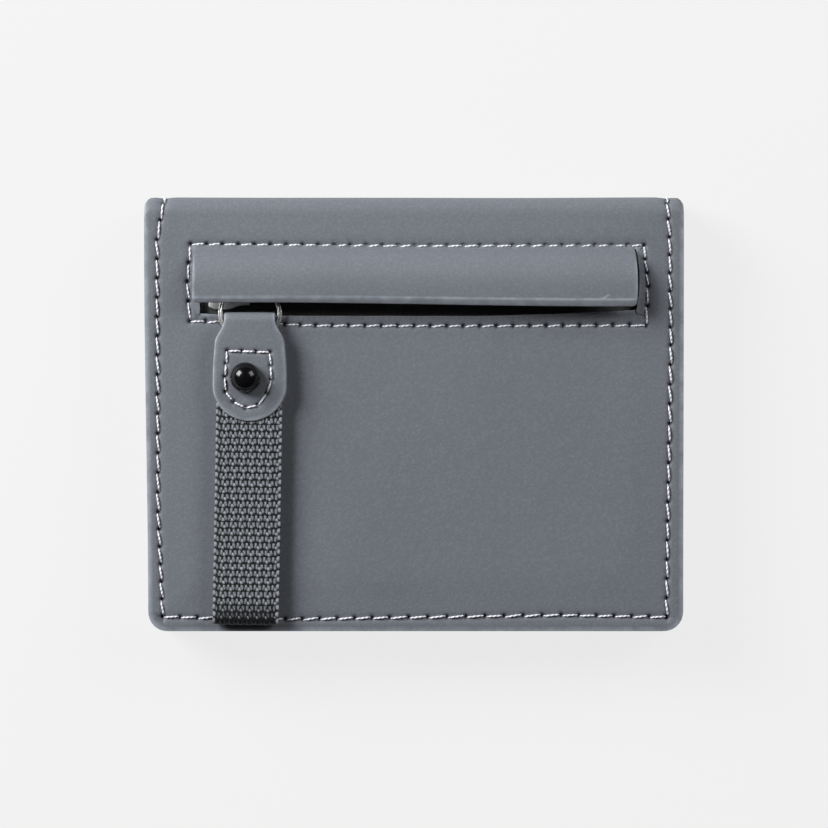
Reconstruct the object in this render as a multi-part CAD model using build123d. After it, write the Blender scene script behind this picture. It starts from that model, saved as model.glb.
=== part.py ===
from build123d import *
import os

# Bifold wallet, closed and lying flat. +X along the fold, +Y towards the fold, +Z up out of the zipped side.
# The origin is the centre of the outline, on the surface that the wallet lies on. Sizes are in millimetres.

# Overall
wallet_width = 110.0
wallet_depth = 88.5
corner_radius = 4.0

# Sheets
cover_leather = 1.4
lining_cloth = 0.4
pocket_cloth = 0.3
divider_leather = 0.6
slot_leather = 0.7
note_gap = 0.4
rest_gap = 0.7

# Fold: each hinge line runs through the middle of the leather
fold_clearance = 0.9
inner_setback = 2.2

# Card slots, whose mouths open towards the fold
slot_count = 3
slot_step = 11.0
slot_margin = 12.05
slot_side_inset = 0.6

# Coin pocket
coin_depth = 2.2
gusset_width = 4.0
tape_thickness = 0.5

# Window in the back cover, over the zip
window_left_margin = 9.8
window_right_margin = 9.5
window_fold_margin = 10.65
window_height = 13.7
window_taper = 1.7

# Zip
zip_setback = 8.7
tape_half_width = 12.0
tape_end_margin = 5.5
seam_half_gap = 0.4
coil_width = 1.7
coil_height = 1.2
coil_start_setback = 1.3
coil_end_setback = 0.5
stop_length = 1.2
slider_start_gap = 2.0
slider_length = 8.4
slider_width = 7.2
slider_plate = 0.9
slider_floor = 0.6
slider_clearance = 0.15
slider_flange = 0.6
post_width = 0.5
post_length = 2.0

# Zip flap
flap_side_gap = 0.3
flap_leather = 1.2
flap_reach = 11.1
flap_knee_offset = 3.7
flap_root_gap = 0.6
flap_root_drop = 0.5
flap_clearance = 0.25
flap_corner = 1.0

# Pull ring and the bail that holds it
ring_offset_x = 4.35
ring_offset_y = -4.4
ring_half_width = 6.05
ring_half_depth = 5.4
ring_wire_radius = 0.5
ring_clearance = 0.1
bail_offset_x = 0.95
bail_offset_y = -0.3
bail_width = 1.2
bail_opening = 4.1
bail_leg = 0.9
bail_crown = 0.7
bail_clearance = 0.35

# Webbing loop
webbing_width = 13.2
webbing_layer = 0.8
webbing_clearance = 0.05
webbing_layer_gap = 0.2
webbing_tuck_gap = 2.6
webbing_bend_offset = 0.8
webbing_bend_gap = 0.45
webbing_length = 40.4

# Leather pull tab, folded round the ring
tab_leather = 0.9
tab_lift = 0.1
tab_top_offset = 0.2
tab_neck_half = 5.2
tab_neck_length = 2.5
tab_shoulder_half = 7.0
tab_shoulder_length = 5.9
tab_half_width = 7.4
tab_waist_length = 11.2
tab_straight_length = 14.8

# Ball rivet
rivet_offset_x = -0.8
rivet_offset_y = 1.5
ball_radius = 3.1
ball_sink = 2.2
rivet_post_radius = 1.0
rivet_post_clearance = 0.05
rivet_flange_radius = 2.5
rivet_flange_clearance = 0.1
rivet_flange_thickness = 0.6
rivet_post_depth = 2.0

# Stitching
thread_width = 0.5
thread_height = 0.35
groove_width = 0.7
groove_depth = 0.4
stitch_pitch = 3.8
stitch_length = 3.0
edge_stitch_inset = 2.7
free_stitch_inset = 3.0
pocket_stitch_left_gap = 0.8
pocket_stitch_right_gap = 2.0
pocket_stitch_fold_gap = 1.0
pocket_stitch_free_gap = 1.5
tab_stitch_length = 2.2
tab_stitch_pitch = 2.7
tab_stitch_half = 4.5
tab_stitch_top_offset = 5.3
tab_stitch_low_offset = -2.8
tab_stitch_tip_offset = -6.2

# Outline and fold
half_width = wallet_width / 2
half_depth = wallet_depth / 2
fold_y = half_depth - cover_leather / 2
cover_end_y = fold_y - fold_clearance
inner_end_y = half_depth - inner_setback
stitch_x = half_width - edge_stitch_inset
stitch_free_y = -half_depth + free_stitch_inset

# Levels, from the surface up to the top of the zipped side
slot_stack = slot_count * slot_leather
divider_bottom = cover_leather + lining_cloth + note_gap
front_slots_bottom = divider_bottom + divider_leather
back_slots_top = front_slots_bottom + slot_stack + rest_gap + slot_stack
back_divider_top = back_slots_top + divider_leather
coin_floor = back_divider_top + pocket_cloth
coin_roof = coin_floor + coin_depth
tape_bottom = coin_roof + pocket_cloth
tape_top = tape_bottom + tape_thickness
coil_bottom = tape_bottom - coil_height
top = tape_top + cover_leather
lower_fold_z = cover_leather / 2
upper_fold_z = top - cover_leather / 2

# Window, zip and flap
window_left = -half_width + window_left_margin
window_right = half_width - window_right_margin
window_top = half_depth - window_fold_margin
window_bottom = window_top - window_height
zip_y = window_top - zip_setback
tape_half_length = half_width - tape_end_margin
coil_start_x = window_left + coil_start_setback
coil_end_x = window_right - coil_end_setback
slider_x = coil_start_x + slider_start_gap + slider_length / 2
flap_root_y = window_top - flap_root_gap
flap_knee_y = zip_y + flap_knee_offset
flap_free_y = window_top - flap_reach

# Ring, bail, tab and webbing
ring_x = slider_x + ring_offset_x
ring_y = zip_y + ring_offset_y
bail_x = slider_x + bail_offset_x
bail_y = zip_y + bail_offset_y
tab_x = ring_x
tab_top_y = ring_y + tab_top_offset
tab_round_y = tab_top_y - tab_straight_length
tab_end_y = tab_round_y - tab_half_width
tab_bottom = top + tab_lift
tab_gap_bottom = tab_bottom + tab_leather
tab_gap_top = tab_gap_bottom + 2 * (webbing_layer + webbing_clearance) + webbing_layer_gap
tab_top = tab_gap_top + tab_leather
tab_middle = (tab_gap_bottom + tab_gap_top) / 2
ring_z = tab_gap_bottom + ring_clearance + ring_wire_radius
bail_opening_top = ring_z + ring_wire_radius + bail_clearance
bail_top = bail_opening_top + bail_crown
rivet_x = tab_x + rivet_offset_x
rivet_y = tab_round_y + rivet_offset_y
webbing_tuck_y = ring_y - ring_half_depth - ring_wire_radius - webbing_tuck_gap
webbing_bend_y = tab_end_y - webbing_bend_offset
webbing_end_y = webbing_bend_y - webbing_length


def block(x0, x1, y0, y1, z0, z1):
    """Box between two corners."""
    return Pos(x0, y0, z0) * Box(x1 - x0, y1 - y0, z1 - z0, align=(Align.MIN, Align.MIN, Align.MIN))


def sheet(x_half, y0, y1, z0, z1, radius):
    """Flat sheet whose two corners at the free edge are rounded."""
    outline = Pos(0, (y0 + y1) / 2) * Rectangle(2 * x_half, y1 - y0)
    free_corners = outline.vertices().group_by(Axis.Y)[0]
    if radius > 0:
        outline = fillet(free_corners, radius)
    return extrude(Plane.XY.offset(z0) * outline, z1 - z0)


def prism(points, x0, x1):
    """Prism along X from an outline of (y, z) points."""
    outline = Plane.YZ.offset(x0) * Polyline(*points, close=True)
    return extrude(make_face(outline), x1 - x0, dir=(1, 0, 0))


def stitch_run(start, end, length=stitch_length, pitch=stitch_pitch):
    """Centres, heading and length of the stitches that share a straight run evenly."""
    run = Vector(*end) - Vector(*start)
    count = max(1, round(run.length / pitch))
    spacing = run.length / count
    heading = run.normalized()
    places = [Vector(*start) + heading * spacing * (i + 0.5) for i in range(count)]
    return places, heading, length * spacing / pitch


def flat_stitches(runs, z0, z1, length=stitch_length, pitch=stitch_pitch):
    """Threads lying flat along several straight runs."""
    threads = []
    for start, end in runs:
        places, heading, reach = stitch_run(start, end, length, pitch)
        angle = Vector(1, 0).get_signed_angle(heading, Vector(0, 0, 1))
        thread = extrude(SlotOverall(reach, thread_width), z1 - z0)
        threads += [Pos(place.X, place.Y, z0) * Rot(0, 0, angle) * thread for place in places]
    return threads


def edge_runs(end_y):
    """The stitch line along both sides and the free edge of one half."""
    return [
        ((-stitch_x, end_y), (-stitch_x, stitch_free_y)),
        ((-stitch_x, stitch_free_y), (stitch_x, stitch_free_y)),
        ((stitch_x, stitch_free_y), (stitch_x, end_y)),
    ]


def groove(start, end, z0, z1):
    """Straight groove along a stitch run."""
    reach = groove_width / 2
    xs = sorted((start[0], end[0]))
    ys = sorted((start[1], end[1]))
    return block(xs[0] - reach, xs[1] + reach, ys[0] - reach, ys[1] + reach, z0, z1)


def front_half():
    """The half that lies on the surface."""
    cover = sheet(half_width, -half_depth, cover_end_y, 0, cover_leather, corner_radius)
    for start, end in edge_runs(cover_end_y):
        cover -= groove(start, end, 0, groove_depth)
    lining_top = cover_leather + lining_cloth
    pieces = {
        "front_cover": cover,
        "front_lining": sheet(half_width, -half_depth, inner_end_y, cover_leather, lining_top, corner_radius),
        "note_divider": sheet(
            half_width, -half_depth, inner_end_y, divider_bottom, front_slots_bottom, corner_radius
        ),
        "front_edge_stitching": flat_stitches(
            edge_runs(cover_end_y - 1), groove_depth - thread_height, groove_depth
        ),
    }
    for i in range(slot_count):
        mouth_y = inner_end_y - slot_margin - slot_step * i
        z0 = front_slots_bottom + slot_leather * i
        pieces[f"front_card_slot_{i + 1}"] = sheet(
            half_width - slot_side_inset, -half_depth, mouth_y, z0, z0 + slot_leather, corner_radius
        )
    return pieces


def spine():
    """The strip of cover that stands at the fold when the wallet is closed."""
    z0 = lower_fold_z + fold_clearance
    z1 = upper_fold_z - fold_clearance
    cover = block(-half_width, half_width, half_depth - cover_leather, half_depth, z0, z1)
    threads = []
    for x in (-stitch_x, stitch_x):
        reach = groove_width / 2
        cover -= block(x - reach, x + reach, half_depth - groove_depth, half_depth, z0, z1)
        places, _, length = stitch_run((0, z0), (0, z1))
        for place in places:
            z = place.Y
            thread_y = half_depth - groove_depth
            threads.append(
                block(
                    x - thread_width / 2, x + thread_width / 2,
                    thread_y, thread_y + thread_height,
                    z - length / 2, z + length / 2,
                )
            )
    inner_y = half_depth - cover_leather
    lining = block(-half_width, half_width, inner_y - lining_cloth, inner_y, z0 + lining_cloth, z1 - lining_cloth)
    return {"spine_cover": cover, "spine_lining": lining, "spine_stitching": threads}


def back_cover():
    """Outer leather of the zipped half, with its window and stitch grooves."""
    cover = sheet(half_width, -half_depth, cover_end_y, top - cover_leather, top, corner_radius)
    window = Polyline(
        (window_left, window_top),
        (window_right, window_top),
        (window_right - window_taper, window_bottom),
        (window_left + window_taper, window_bottom),
        close=True,
    )
    cover -= extrude(Plane.XY.offset(top - cover_leather) * make_face(window), cover_leather)
    for start, end in edge_runs(cover_end_y) + pocket_runs():
        cover -= groove(start, end, top - groove_depth, top)
    return cover


def pocket_runs():
    """The stitch line round the window, which holds the zip."""
    left = window_left - pocket_stitch_left_gap
    right = window_right + pocket_stitch_right_gap
    fold_side = window_top + pocket_stitch_fold_gap
    free_side = window_bottom - pocket_stitch_free_gap
    corners = [(left, fold_side), (right, fold_side), (right, free_side), (left, free_side)]
    return [(corners[i], corners[(i + 1) % 4]) for i in range(4)]


def coin_pocket():
    """Gusset and the two linings of the coin pocket."""
    gusset = sheet(half_width, -half_depth, inner_end_y, coin_floor, tape_top, corner_radius)
    inside = block(
        -half_width + gusset_width, half_width - gusset_width,
        -half_depth + gusset_width, inner_end_y - gusset_width,
        coin_floor, tape_top,
    )
    reach = half_width - gusset_width
    roof = block(
        -reach, reach, -half_depth + gusset_width, inner_end_y - gusset_width, coin_roof, tape_bottom
    )
    mouth = block(
        coil_start_x - stop_length, coil_end_x + stop_length,
        zip_y - slider_width / 2 - 1, zip_y + slider_width / 2 + 1,
        coin_roof, tape_bottom,
    )
    back = sheet(half_width, -half_depth, inner_end_y, coin_floor - pocket_cloth, coin_floor, corner_radius)
    return {"coin_pocket_gusset": gusset - inside, "coin_pocket_front": roof - mouth, "coin_pocket_back": back}


def zip_parts():
    """Tapes, coils and end stops."""
    pieces = {}
    for name, side in (("upper", 1), ("lower", -1)):
        ys = sorted((zip_y + side * seam_half_gap, zip_y + side * tape_half_width))
        pieces[f"zip_tape_{name}"] = block(-tape_half_length, tape_half_length, *ys, tape_bottom, tape_top)
        ys = sorted((zip_y + side * seam_half_gap, zip_y + side * (seam_half_gap + coil_width)))
        pieces[f"zip_coil_{name}"] = block(coil_start_x, coil_end_x, *ys, coil_bottom, tape_bottom)
    stop_reach = seam_half_gap + coil_width + 0.2
    for name, x0 in (("closed", coil_start_x - stop_length), ("open", coil_end_x)):
        pieces[f"zip_stop_{name}"] = block(
            x0, x0 + stop_length, zip_y - stop_reach, zip_y + stop_reach, coil_bottom, tape_bottom
        )
    return pieces


def back_inside():
    """Divider and card slots on the inner face of the zipped half."""
    pieces = {
        "back_divider": sheet(
            half_width, -half_depth, inner_end_y, back_slots_top, back_divider_top, corner_radius
        )
    }
    for i in range(slot_count):
        mouth_y = inner_end_y - slot_margin - slot_step * i
        z1 = back_slots_top - slot_leather * i
        pieces[f"back_card_slot_{i + 1}"] = sheet(
            half_width - slot_side_inset, -half_depth, mouth_y, z1 - slot_leather, z1, corner_radius
        )
    return pieces


def flap():
    """Leather flap that stands over the zip, bent up from its root."""
    lower_z = bail_top + flap_clearance
    upper_z = lower_z + flap_leather
    root_z = top - flap_root_drop
    rise = Vector(flap_knee_y - flap_root_y, lower_z + flap_leather / 2 - root_z).normalized()
    across = Vector(-rise.Y, rise.X) * (flap_leather / 2)
    knee_shift = flap_leather / 2 * (1 - abs(rise.X)) / rise.Y
    outline = [
        (flap_root_y + across.X, root_z + across.Y),
        (flap_knee_y - knee_shift, lower_z),
        (flap_free_y, lower_z),
        (flap_free_y, upper_z),
        (flap_knee_y + knee_shift, upper_z),
        (flap_root_y - across.X, root_z - across.Y),
    ]
    strip = prism(outline, window_left + flap_side_gap, window_right - flap_side_gap)
    corners = [
        edge
        for edge in strip.edges().filter_by(Axis.Z)
        if abs(edge.center().Y - flap_free_y) < flap_leather / 10
    ]
    return fillet(corners, flap_corner)


def slider():
    """Slider body with its two plates and post, and the bail on top."""
    x0 = slider_x - slider_length / 2
    x1 = slider_x + slider_length / 2
    y0 = zip_y - slider_width / 2
    y1 = zip_y + slider_width / 2
    plate_bottom = tape_top + slider_clearance
    plate_top = plate_bottom + slider_plate
    floor_top = coil_bottom - slider_clearance
    floor_bottom = floor_top - slider_floor
    plate = block(x0, x1, y0, y1, plate_bottom, plate_top)
    plate = fillet(plate.edges().filter_by(Axis.Z), slider_width / 3)
    body = plate + block(x0, x1, y0, y1, floor_bottom, floor_top)
    flange_top = tape_bottom - slider_clearance
    for y in (y0, y1 - slider_flange):
        body += block(x0, x1, y, y + slider_flange, floor_top, flange_top)
    post_x = x0 + slider_flange
    body += block(
        post_x, post_x + post_length, zip_y - post_width / 2, zip_y + post_width / 2, floor_top, plate_bottom
    )
    bail_reach = bail_opening / 2 + bail_leg
    bail = block(
        bail_x - bail_reach, bail_x + bail_reach,
        bail_y - bail_width / 2, bail_y + bail_width / 2, plate_top, bail_top,
    )
    bail = fillet(bail.edges().filter_by(Axis.Y).group_by(Axis.Z)[-1], bail_leg)
    bail -= block(
        bail_x - bail_opening / 2, bail_x + bail_opening / 2,
        bail_y - bail_width, bail_y + bail_width, plate_top, bail_opening_top,
    )
    return {"slider_body": body, "slider_bail": bail}


def ring():
    """Oval wire ring that lies flat through the bail."""
    path = Pos(ring_x, ring_y, ring_z) * Ellipse(ring_half_width, ring_half_depth).edge()
    start = Plane(path @ 0, z_dir=path % 0)
    return sweep(start * Circle(ring_wire_radius), path)


def tab_outline():
    """Outline of one layer of the tab, from the fold to its round end."""
    fold_end_y = tab_top_y - (tab_top - tab_bottom) / 2
    neck_end_y = tab_top_y - tab_neck_length
    waist_y = tab_top_y - tab_waist_length
    side = [
        Line((tab_neck_half, fold_end_y), (tab_neck_half, neck_end_y)),
        Spline(
            (tab_neck_half, neck_end_y),
            (tab_shoulder_half, tab_top_y - tab_shoulder_length),
            (tab_half_width, waist_y),
            tangents=[(0, -1), (0, -1)],
        ),
        Line((tab_half_width, waist_y), (tab_half_width, tab_round_y)),
    ]
    other_side = [edge.mirror(Plane.YZ) for edge in side]
    round_end = ThreePointArc(
        (tab_half_width, tab_round_y), (0, tab_end_y), (-tab_half_width, tab_round_y)
    )
    across = Line((-tab_neck_half, fold_end_y), (tab_neck_half, fold_end_y))
    return make_face(Wire(side + [round_end] + other_side + [across]))


def pull_tab():
    """Folded leather tab, its rivet, its stitching and the webbing ends sewn into it."""
    layer = extrude(tab_outline(), tab_leather)
    leather = Pos(tab_x, 0, tab_bottom) * layer + Pos(tab_x, 0, tab_gap_top) * layer
    outer = (tab_top - tab_bottom) / 2
    fold_y0 = tab_top_y - outer
    tube = Circle(outer) - Circle(outer - tab_leather)
    tube &= Pos(outer, 0) * Rectangle(2 * outer, 2 * outer)
    bend = extrude(Plane.YZ * tube, tab_neck_half, both=True)
    leather += Pos(tab_x, fold_y0, tab_middle) * bend
    post_hole = rivet_post_radius + rivet_post_clearance
    flange_hole = rivet_flange_radius + rivet_flange_clearance
    hole_axis = Pos(rivet_x, rivet_y, 0)
    leather -= hole_axis * Pos(0, 0, tab_gap_top) * bore(post_hole, tab_leather)
    leather -= hole_axis * Pos(0, 0, tab_bottom) * bore(flange_hole, tab_leather)

    webbing_bottom = tab_gap_bottom + webbing_clearance
    webbing_top = tab_gap_top - webbing_clearance
    ends = []
    for z0 in (webbing_bottom, webbing_top - webbing_layer):
        end = block(
            tab_x - webbing_width / 2, tab_x + webbing_width / 2,
            webbing_bend_y + webbing_bend_gap, webbing_tuck_y, z0, z0 + webbing_layer,
        )
        ends.append(end - hole_axis * Pos(0, 0, z0) * bore(post_hole, webbing_layer))

    flange_top = tab_bottom + rivet_flange_thickness
    post = hole_axis * Pos(0, 0, tab_bottom) * bore(rivet_flange_radius, rivet_flange_thickness)
    post_height = tab_top + rivet_post_depth - flange_top
    post += hole_axis * Pos(0, 0, flange_top) * bore(rivet_post_radius, post_height)
    ball = Sphere(ball_radius)
    ball = split(ball, Plane.XY.offset(-ball_radius + ball_sink), keep=Keep.TOP)
    ball = hole_axis * Pos(0, 0, tab_top + ball_radius - ball_sink) * ball
    ball -= hole_axis * Pos(0, 0, tab_top) * bore(post_hole, rivet_post_depth + rivet_post_clearance)

    corners = [
        (tab_x - tab_stitch_half, rivet_y + tab_stitch_top_offset),
        (tab_x + tab_stitch_half, rivet_y + tab_stitch_top_offset),
        (tab_x + tab_stitch_half, rivet_y + tab_stitch_low_offset),
        (rivet_x, rivet_y + tab_stitch_tip_offset),
        (tab_x - tab_stitch_half, rivet_y + tab_stitch_low_offset),
    ]
    runs = [(corners[i], corners[(i + 1) % len(corners)]) for i in range(len(corners))]
    threads = flat_stitches(
        runs, tab_top, tab_top + thread_height, tab_stitch_length, tab_stitch_pitch
    )
    return {
        "pull_tab_leather": leather,
        "webbing_ends": ends,
        "rivet_post": post,
        "rivet_ball": ball,
        "pull_tab_stitching": threads,
    }


def bore(radius, height):
    """Cylinder standing on the plane z = 0."""
    return Cylinder(radius, height, align=(Align.CENTER, Align.CENTER, Align.MIN))


def webbing_loop():
    """Free part of the webbing: two layers joined by the bend at the bottom."""
    z0 = tab_gap_bottom + webbing_clearance
    z1 = tab_gap_top - webbing_clearance
    outer = (z1 - z0) / 2
    bend_y = webbing_end_y + outer
    start_y = webbing_bend_y - webbing_bend_gap
    strip = block(0, webbing_width, bend_y, start_y, z0, z0 + webbing_layer)
    strip += block(0, webbing_width, bend_y, start_y, z1 - webbing_layer, z1)
    tube = Circle(outer) - Circle(outer - webbing_layer)
    tube &= Pos(-outer, 0) * Rectangle(2 * outer, 2 * outer)
    strip += Pos(0, bend_y, z0 + outer) * extrude(Plane.YZ * tube, webbing_width)
    return Pos(tab_x - webbing_width / 2, 0, 0) * strip


def build():
    """Every node of the wallet, by name."""
    nodes = {}
    nodes.update(front_half())
    nodes.update(spine())
    nodes["back_cover"] = back_cover()
    nodes["back_edge_stitching"] = flat_stitches(
        edge_runs(cover_end_y - 1), top - groove_depth, top - groove_depth + thread_height
    )
    nodes["zip_pocket_stitching"] = flat_stitches(
        pocket_runs(), top - groove_depth, top - groove_depth + thread_height
    )
    nodes.update(coin_pocket())
    nodes.update(zip_parts())
    nodes.update(back_inside())
    nodes["zip_flap"] = flap()
    nodes.update(slider())
    nodes["pull_ring"] = ring()
    nodes.update(pull_tab())
    nodes["webbing_loop"] = webbing_loop()
    return nodes


os.makedirs("parts", exist_ok=True)
for node, shape in build().items():
    if isinstance(shape, list):
        shape = Compound(children=[piece.solid() for piece in shape])
    export_step(shape, f"parts/{node}.step")
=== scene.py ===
import math
import random

import bpy
import numpy as np
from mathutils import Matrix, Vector
from mathutils.kdtree import KDTree


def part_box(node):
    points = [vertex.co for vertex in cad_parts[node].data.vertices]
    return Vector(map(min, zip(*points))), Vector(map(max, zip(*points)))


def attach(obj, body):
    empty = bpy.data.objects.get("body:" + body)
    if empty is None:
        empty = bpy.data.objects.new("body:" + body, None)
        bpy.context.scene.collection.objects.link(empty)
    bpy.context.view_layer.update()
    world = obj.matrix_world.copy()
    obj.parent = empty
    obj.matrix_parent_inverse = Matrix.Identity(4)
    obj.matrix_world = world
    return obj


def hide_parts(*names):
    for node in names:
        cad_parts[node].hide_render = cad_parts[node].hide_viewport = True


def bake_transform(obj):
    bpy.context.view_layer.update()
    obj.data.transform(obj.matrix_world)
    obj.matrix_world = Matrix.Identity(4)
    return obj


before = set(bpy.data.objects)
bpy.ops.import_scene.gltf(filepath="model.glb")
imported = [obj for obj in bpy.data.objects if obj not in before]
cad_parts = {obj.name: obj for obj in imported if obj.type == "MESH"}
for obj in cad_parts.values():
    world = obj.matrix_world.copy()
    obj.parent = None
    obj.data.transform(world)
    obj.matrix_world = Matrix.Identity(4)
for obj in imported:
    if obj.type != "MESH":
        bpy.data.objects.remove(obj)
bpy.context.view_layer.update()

bl_info = {
    "name": "Bifold Wallet",
    "version": (1, 0, 0),
    "blender": (4, 5, 0),
    "location": "View3D > Sidebar > Wallet",
    "description": "Models the leather, zip, pull and stitching of a bifold wallet round its CAD frame",
    "category": "Object",
}

MM = 0.001

# Places read from the frame, in metres
BACK_LOW, BACK_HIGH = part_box("back_cover")
SPINE_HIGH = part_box("spine_cover")[1]
FLAP_LOW, FLAP_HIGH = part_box("zip_flap")
TAB_LOW, TAB_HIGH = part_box("pull_tab_leather")
RING_LOW, RING_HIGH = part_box("pull_ring")
LOOP_LOW, LOOP_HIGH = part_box("webbing_loop")
ENDS_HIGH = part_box("webbing_ends")[1]
BALL_LOW, BALL_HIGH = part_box("rivet_ball")
PLATE_LOW, PLATE_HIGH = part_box("slider_body")
TAPE_LOW, TAPE_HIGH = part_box("zip_tape_lower")
UPPER_TAPE_LOW, UPPER_TAPE_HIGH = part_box("zip_tape_upper")

TOP = BACK_HIGH.z
HALF_WIDTH = BACK_HIGH.x
FREE_Y = BACK_LOW.y
FOLD_Y = SPINE_HIGH.y
COVER = BACK_HIGH.z - BACK_LOW.z
FOLD_RADIUS = 3.2 * MM
CORNER = 1.7 * MM
BEND_START = FOLD_Y - FOLD_RADIUS
QUARTER_BEND = FOLD_RADIUS * math.pi / 2
FOLD_TOP = BEND_START + QUARTER_BEND
SHEET_END = FOLD_TOP + TOP / 2 - FOLD_RADIUS
RIVET = (BALL_LOW + BALL_HIGH) / 2
TAB_X = (TAB_LOW.x + TAB_HIGH.x) / 2
COVER_SHEET = COVER - 0.1 * MM
COVER_CORNER = 4 * MM


# ---------------------------------------------------------------- settings


class WalletLeather(bpy.types.PropertyGroup):
    colour: bpy.props.FloatVectorProperty(
        name="Colour", description="Colour of the outer leather", subtype="COLOR", size=3,
        default=(0.148, 0.160, 0.182), min=0, max=1,
    )
    inner_colour: bpy.props.FloatVectorProperty(
        name="Inner colour", description="Colour of the card slots", subtype="COLOR", size=3,
        default=(0.120, 0.131, 0.150), min=0, max=1,
    )
    grain: bpy.props.FloatProperty(
        name="Grain", description="Depth of the leather's fine grain", default=0.00005, min=0, max=0.001,
        unit="LENGTH", precision=6,
    )
    edge_round: bpy.props.FloatProperty(
        name="Edge rounding", description="Radius of the burnished cut edges", default=0.28 * MM, min=0,
        max=0.6 * MM, unit="LENGTH", precision=5,
    )


class WalletThread(bpy.types.PropertyGroup):
    colour: bpy.props.FloatVectorProperty(
        name="Colour", description="Colour of the sewing thread", subtype="COLOR", size=3,
        default=(0.70, 0.70, 0.77), min=0, max=1,
    )
    radius: bpy.props.FloatProperty(
        name="Radius", description="Radius of the sewing thread", default=0.20 * MM, min=0.1 * MM,
        max=0.5 * MM, unit="LENGTH", precision=5,
    )
    edge_pitch: bpy.props.FloatProperty(
        name="Edge pitch", description="Needle spacing round the covers", default=3.78 * MM, min=2 * MM,
        max=6 * MM, unit="LENGTH", precision=5,
    )
    pocket_pitch: bpy.props.FloatProperty(
        name="Pocket pitch", description="Needle spacing round the zip window", default=3.25 * MM, min=2 * MM,
        max=6 * MM, unit="LENGTH", precision=5,
    )
    tab_pitch: bpy.props.FloatProperty(
        name="Tab pitch", description="Needle spacing on the pull tab", default=2.75 * MM, min=1.5 * MM,
        max=5 * MM, unit="LENGTH", precision=5,
    )


class WalletWebbing(bpy.types.PropertyGroup):
    yarn: bpy.props.FloatVectorProperty(
        name="Yarn", description="Colour of the raised yarns", subtype="COLOR", size=3,
        default=(0.128, 0.136, 0.149), min=0, max=1,
    )
    rib_pitch: bpy.props.FloatProperty(
        name="Rib pitch", description="Distance from one rib to the next", default=1.412 * MM, min=0.5 * MM,
        max=4 * MM, unit="LENGTH", precision=5,
    )
    float_pitch: bpy.props.FloatProperty(
        name="Float pitch", description="Width of one group of yarns", default=1.81 * MM, min=0.5 * MM,
        max=4 * MM, unit="LENGTH", precision=5,
    )
    lean: bpy.props.FloatProperty(
        name="Lean", description="How far the loose end hangs to the left", default=0.85 * MM, min=0,
        max=3 * MM, unit="LENGTH", precision=5,
    )


class WalletStage(bpy.types.PropertyGroup):
    camera_height: bpy.props.FloatProperty(
        name="Camera height", description="Distance from the wallet's top face to the camera", default=0.78,
        min=0.3, max=3, unit="LENGTH",
    )
    view_width: bpy.props.FloatProperty(
        name="View width", description="Width that the picture takes in at the top face", default=0.16867,
        min=0.12, max=0.5, unit="LENGTH", precision=5,
    )
    floor: bpy.props.FloatVectorProperty(
        name="Floor", description="Colour of the pale floor", subtype="COLOR", size=3,
        default=(0.07, 0.07, 0.07), min=0, max=1,
    )


# ---------------------------------------------------------------- small tools


def deselect():
    bpy.ops.object.select_all(action="DESELECT")


def make_active(obj):
    deselect()
    obj.select_set(True)
    bpy.context.view_layer.objects.active = obj


def name_it(name):
    obj = bpy.context.active_object
    obj.name = name
    obj.data.name = name
    return obj


def coords(obj):
    flat = np.zeros(len(obj.data.vertices) * 3)
    obj.data.vertices.foreach_get("co", flat)
    return flat.reshape(-1, 3)


def set_coords(obj, points):
    obj.data.vertices.foreach_set("co", np.asarray(points, float).ravel())
    obj.data.update()


def store(obj, name, values):
    """Keep one number per vertex for the material to read."""
    layer = obj.data.attributes.get(name) or obj.data.attributes.new(name, "FLOAT", "POINT")
    layer.data.foreach_set("value", np.asarray(values, np.float32))


def smoothstep(t):
    t = np.clip(t, 0, 1)
    return t * t * (3 - 2 * t)


def segment_distance(points, start, end):
    """Distance from each flat point to the straight line between two others."""
    along = end - start
    t = np.clip(((points - start) @ along) / (along @ along), 0, 1)
    return np.linalg.norm(points - start - t[:, None] * along, axis=1)


def bell(t):
    """A smooth bump: 1 at t = 0, and near 0 beyond t = 2 on either side."""
    return np.exp(-(t**2))


def add_grid(name, x0, x1, y0, y1, step_x, step_y):
    """Flat grid of near-square cells, at its size and place."""
    deselect()
    bpy.ops.mesh.primitive_grid_add(
        x_subdivisions=max(2, round((x1 - x0) / step_x)),
        y_subdivisions=max(2, round((y1 - y0) / step_y)),
        size=1, location=((x0 + x1) / 2, (y0 + y1) / 2, 0),
    )
    obj = name_it(name)
    obj.scale = (x1 - x0, y1 - y0, 1)
    bpy.ops.object.transform_apply(location=True, rotation=True, scale=True)
    return obj


def cut_line(obj, point, normal):
    """Cut new edges where a plane crosses the whole mesh."""
    make_active(obj)
    bpy.ops.object.mode_set(mode="EDIT")
    bpy.ops.mesh.select_all(action="SELECT")
    bpy.ops.mesh.bisect(plane_co=point, plane_no=normal)
    bpy.ops.object.mode_set(mode="OBJECT")


def pick_faces(obj, chosen):
    """Select just the faces whose centres the test takes."""
    make_active(obj)
    bpy.ops.object.mode_set(mode="EDIT")
    bpy.ops.mesh.select_all(action="DESELECT")
    bpy.ops.mesh.select_mode(type="FACE")
    bpy.ops.object.mode_set(mode="OBJECT")
    centres = np.zeros(len(obj.data.polygons) * 3)
    obj.data.polygons.foreach_get("center", centres)
    picked = chosen(centres.reshape(-1, 3))
    obj.data.polygons.foreach_set("select", picked)
    bpy.ops.object.mode_set(mode="EDIT")


def delete_faces(obj, chosen):
    pick_faces(obj, chosen)
    bpy.ops.mesh.delete(type="FACE")
    bpy.ops.object.mode_set(mode="OBJECT")


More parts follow.
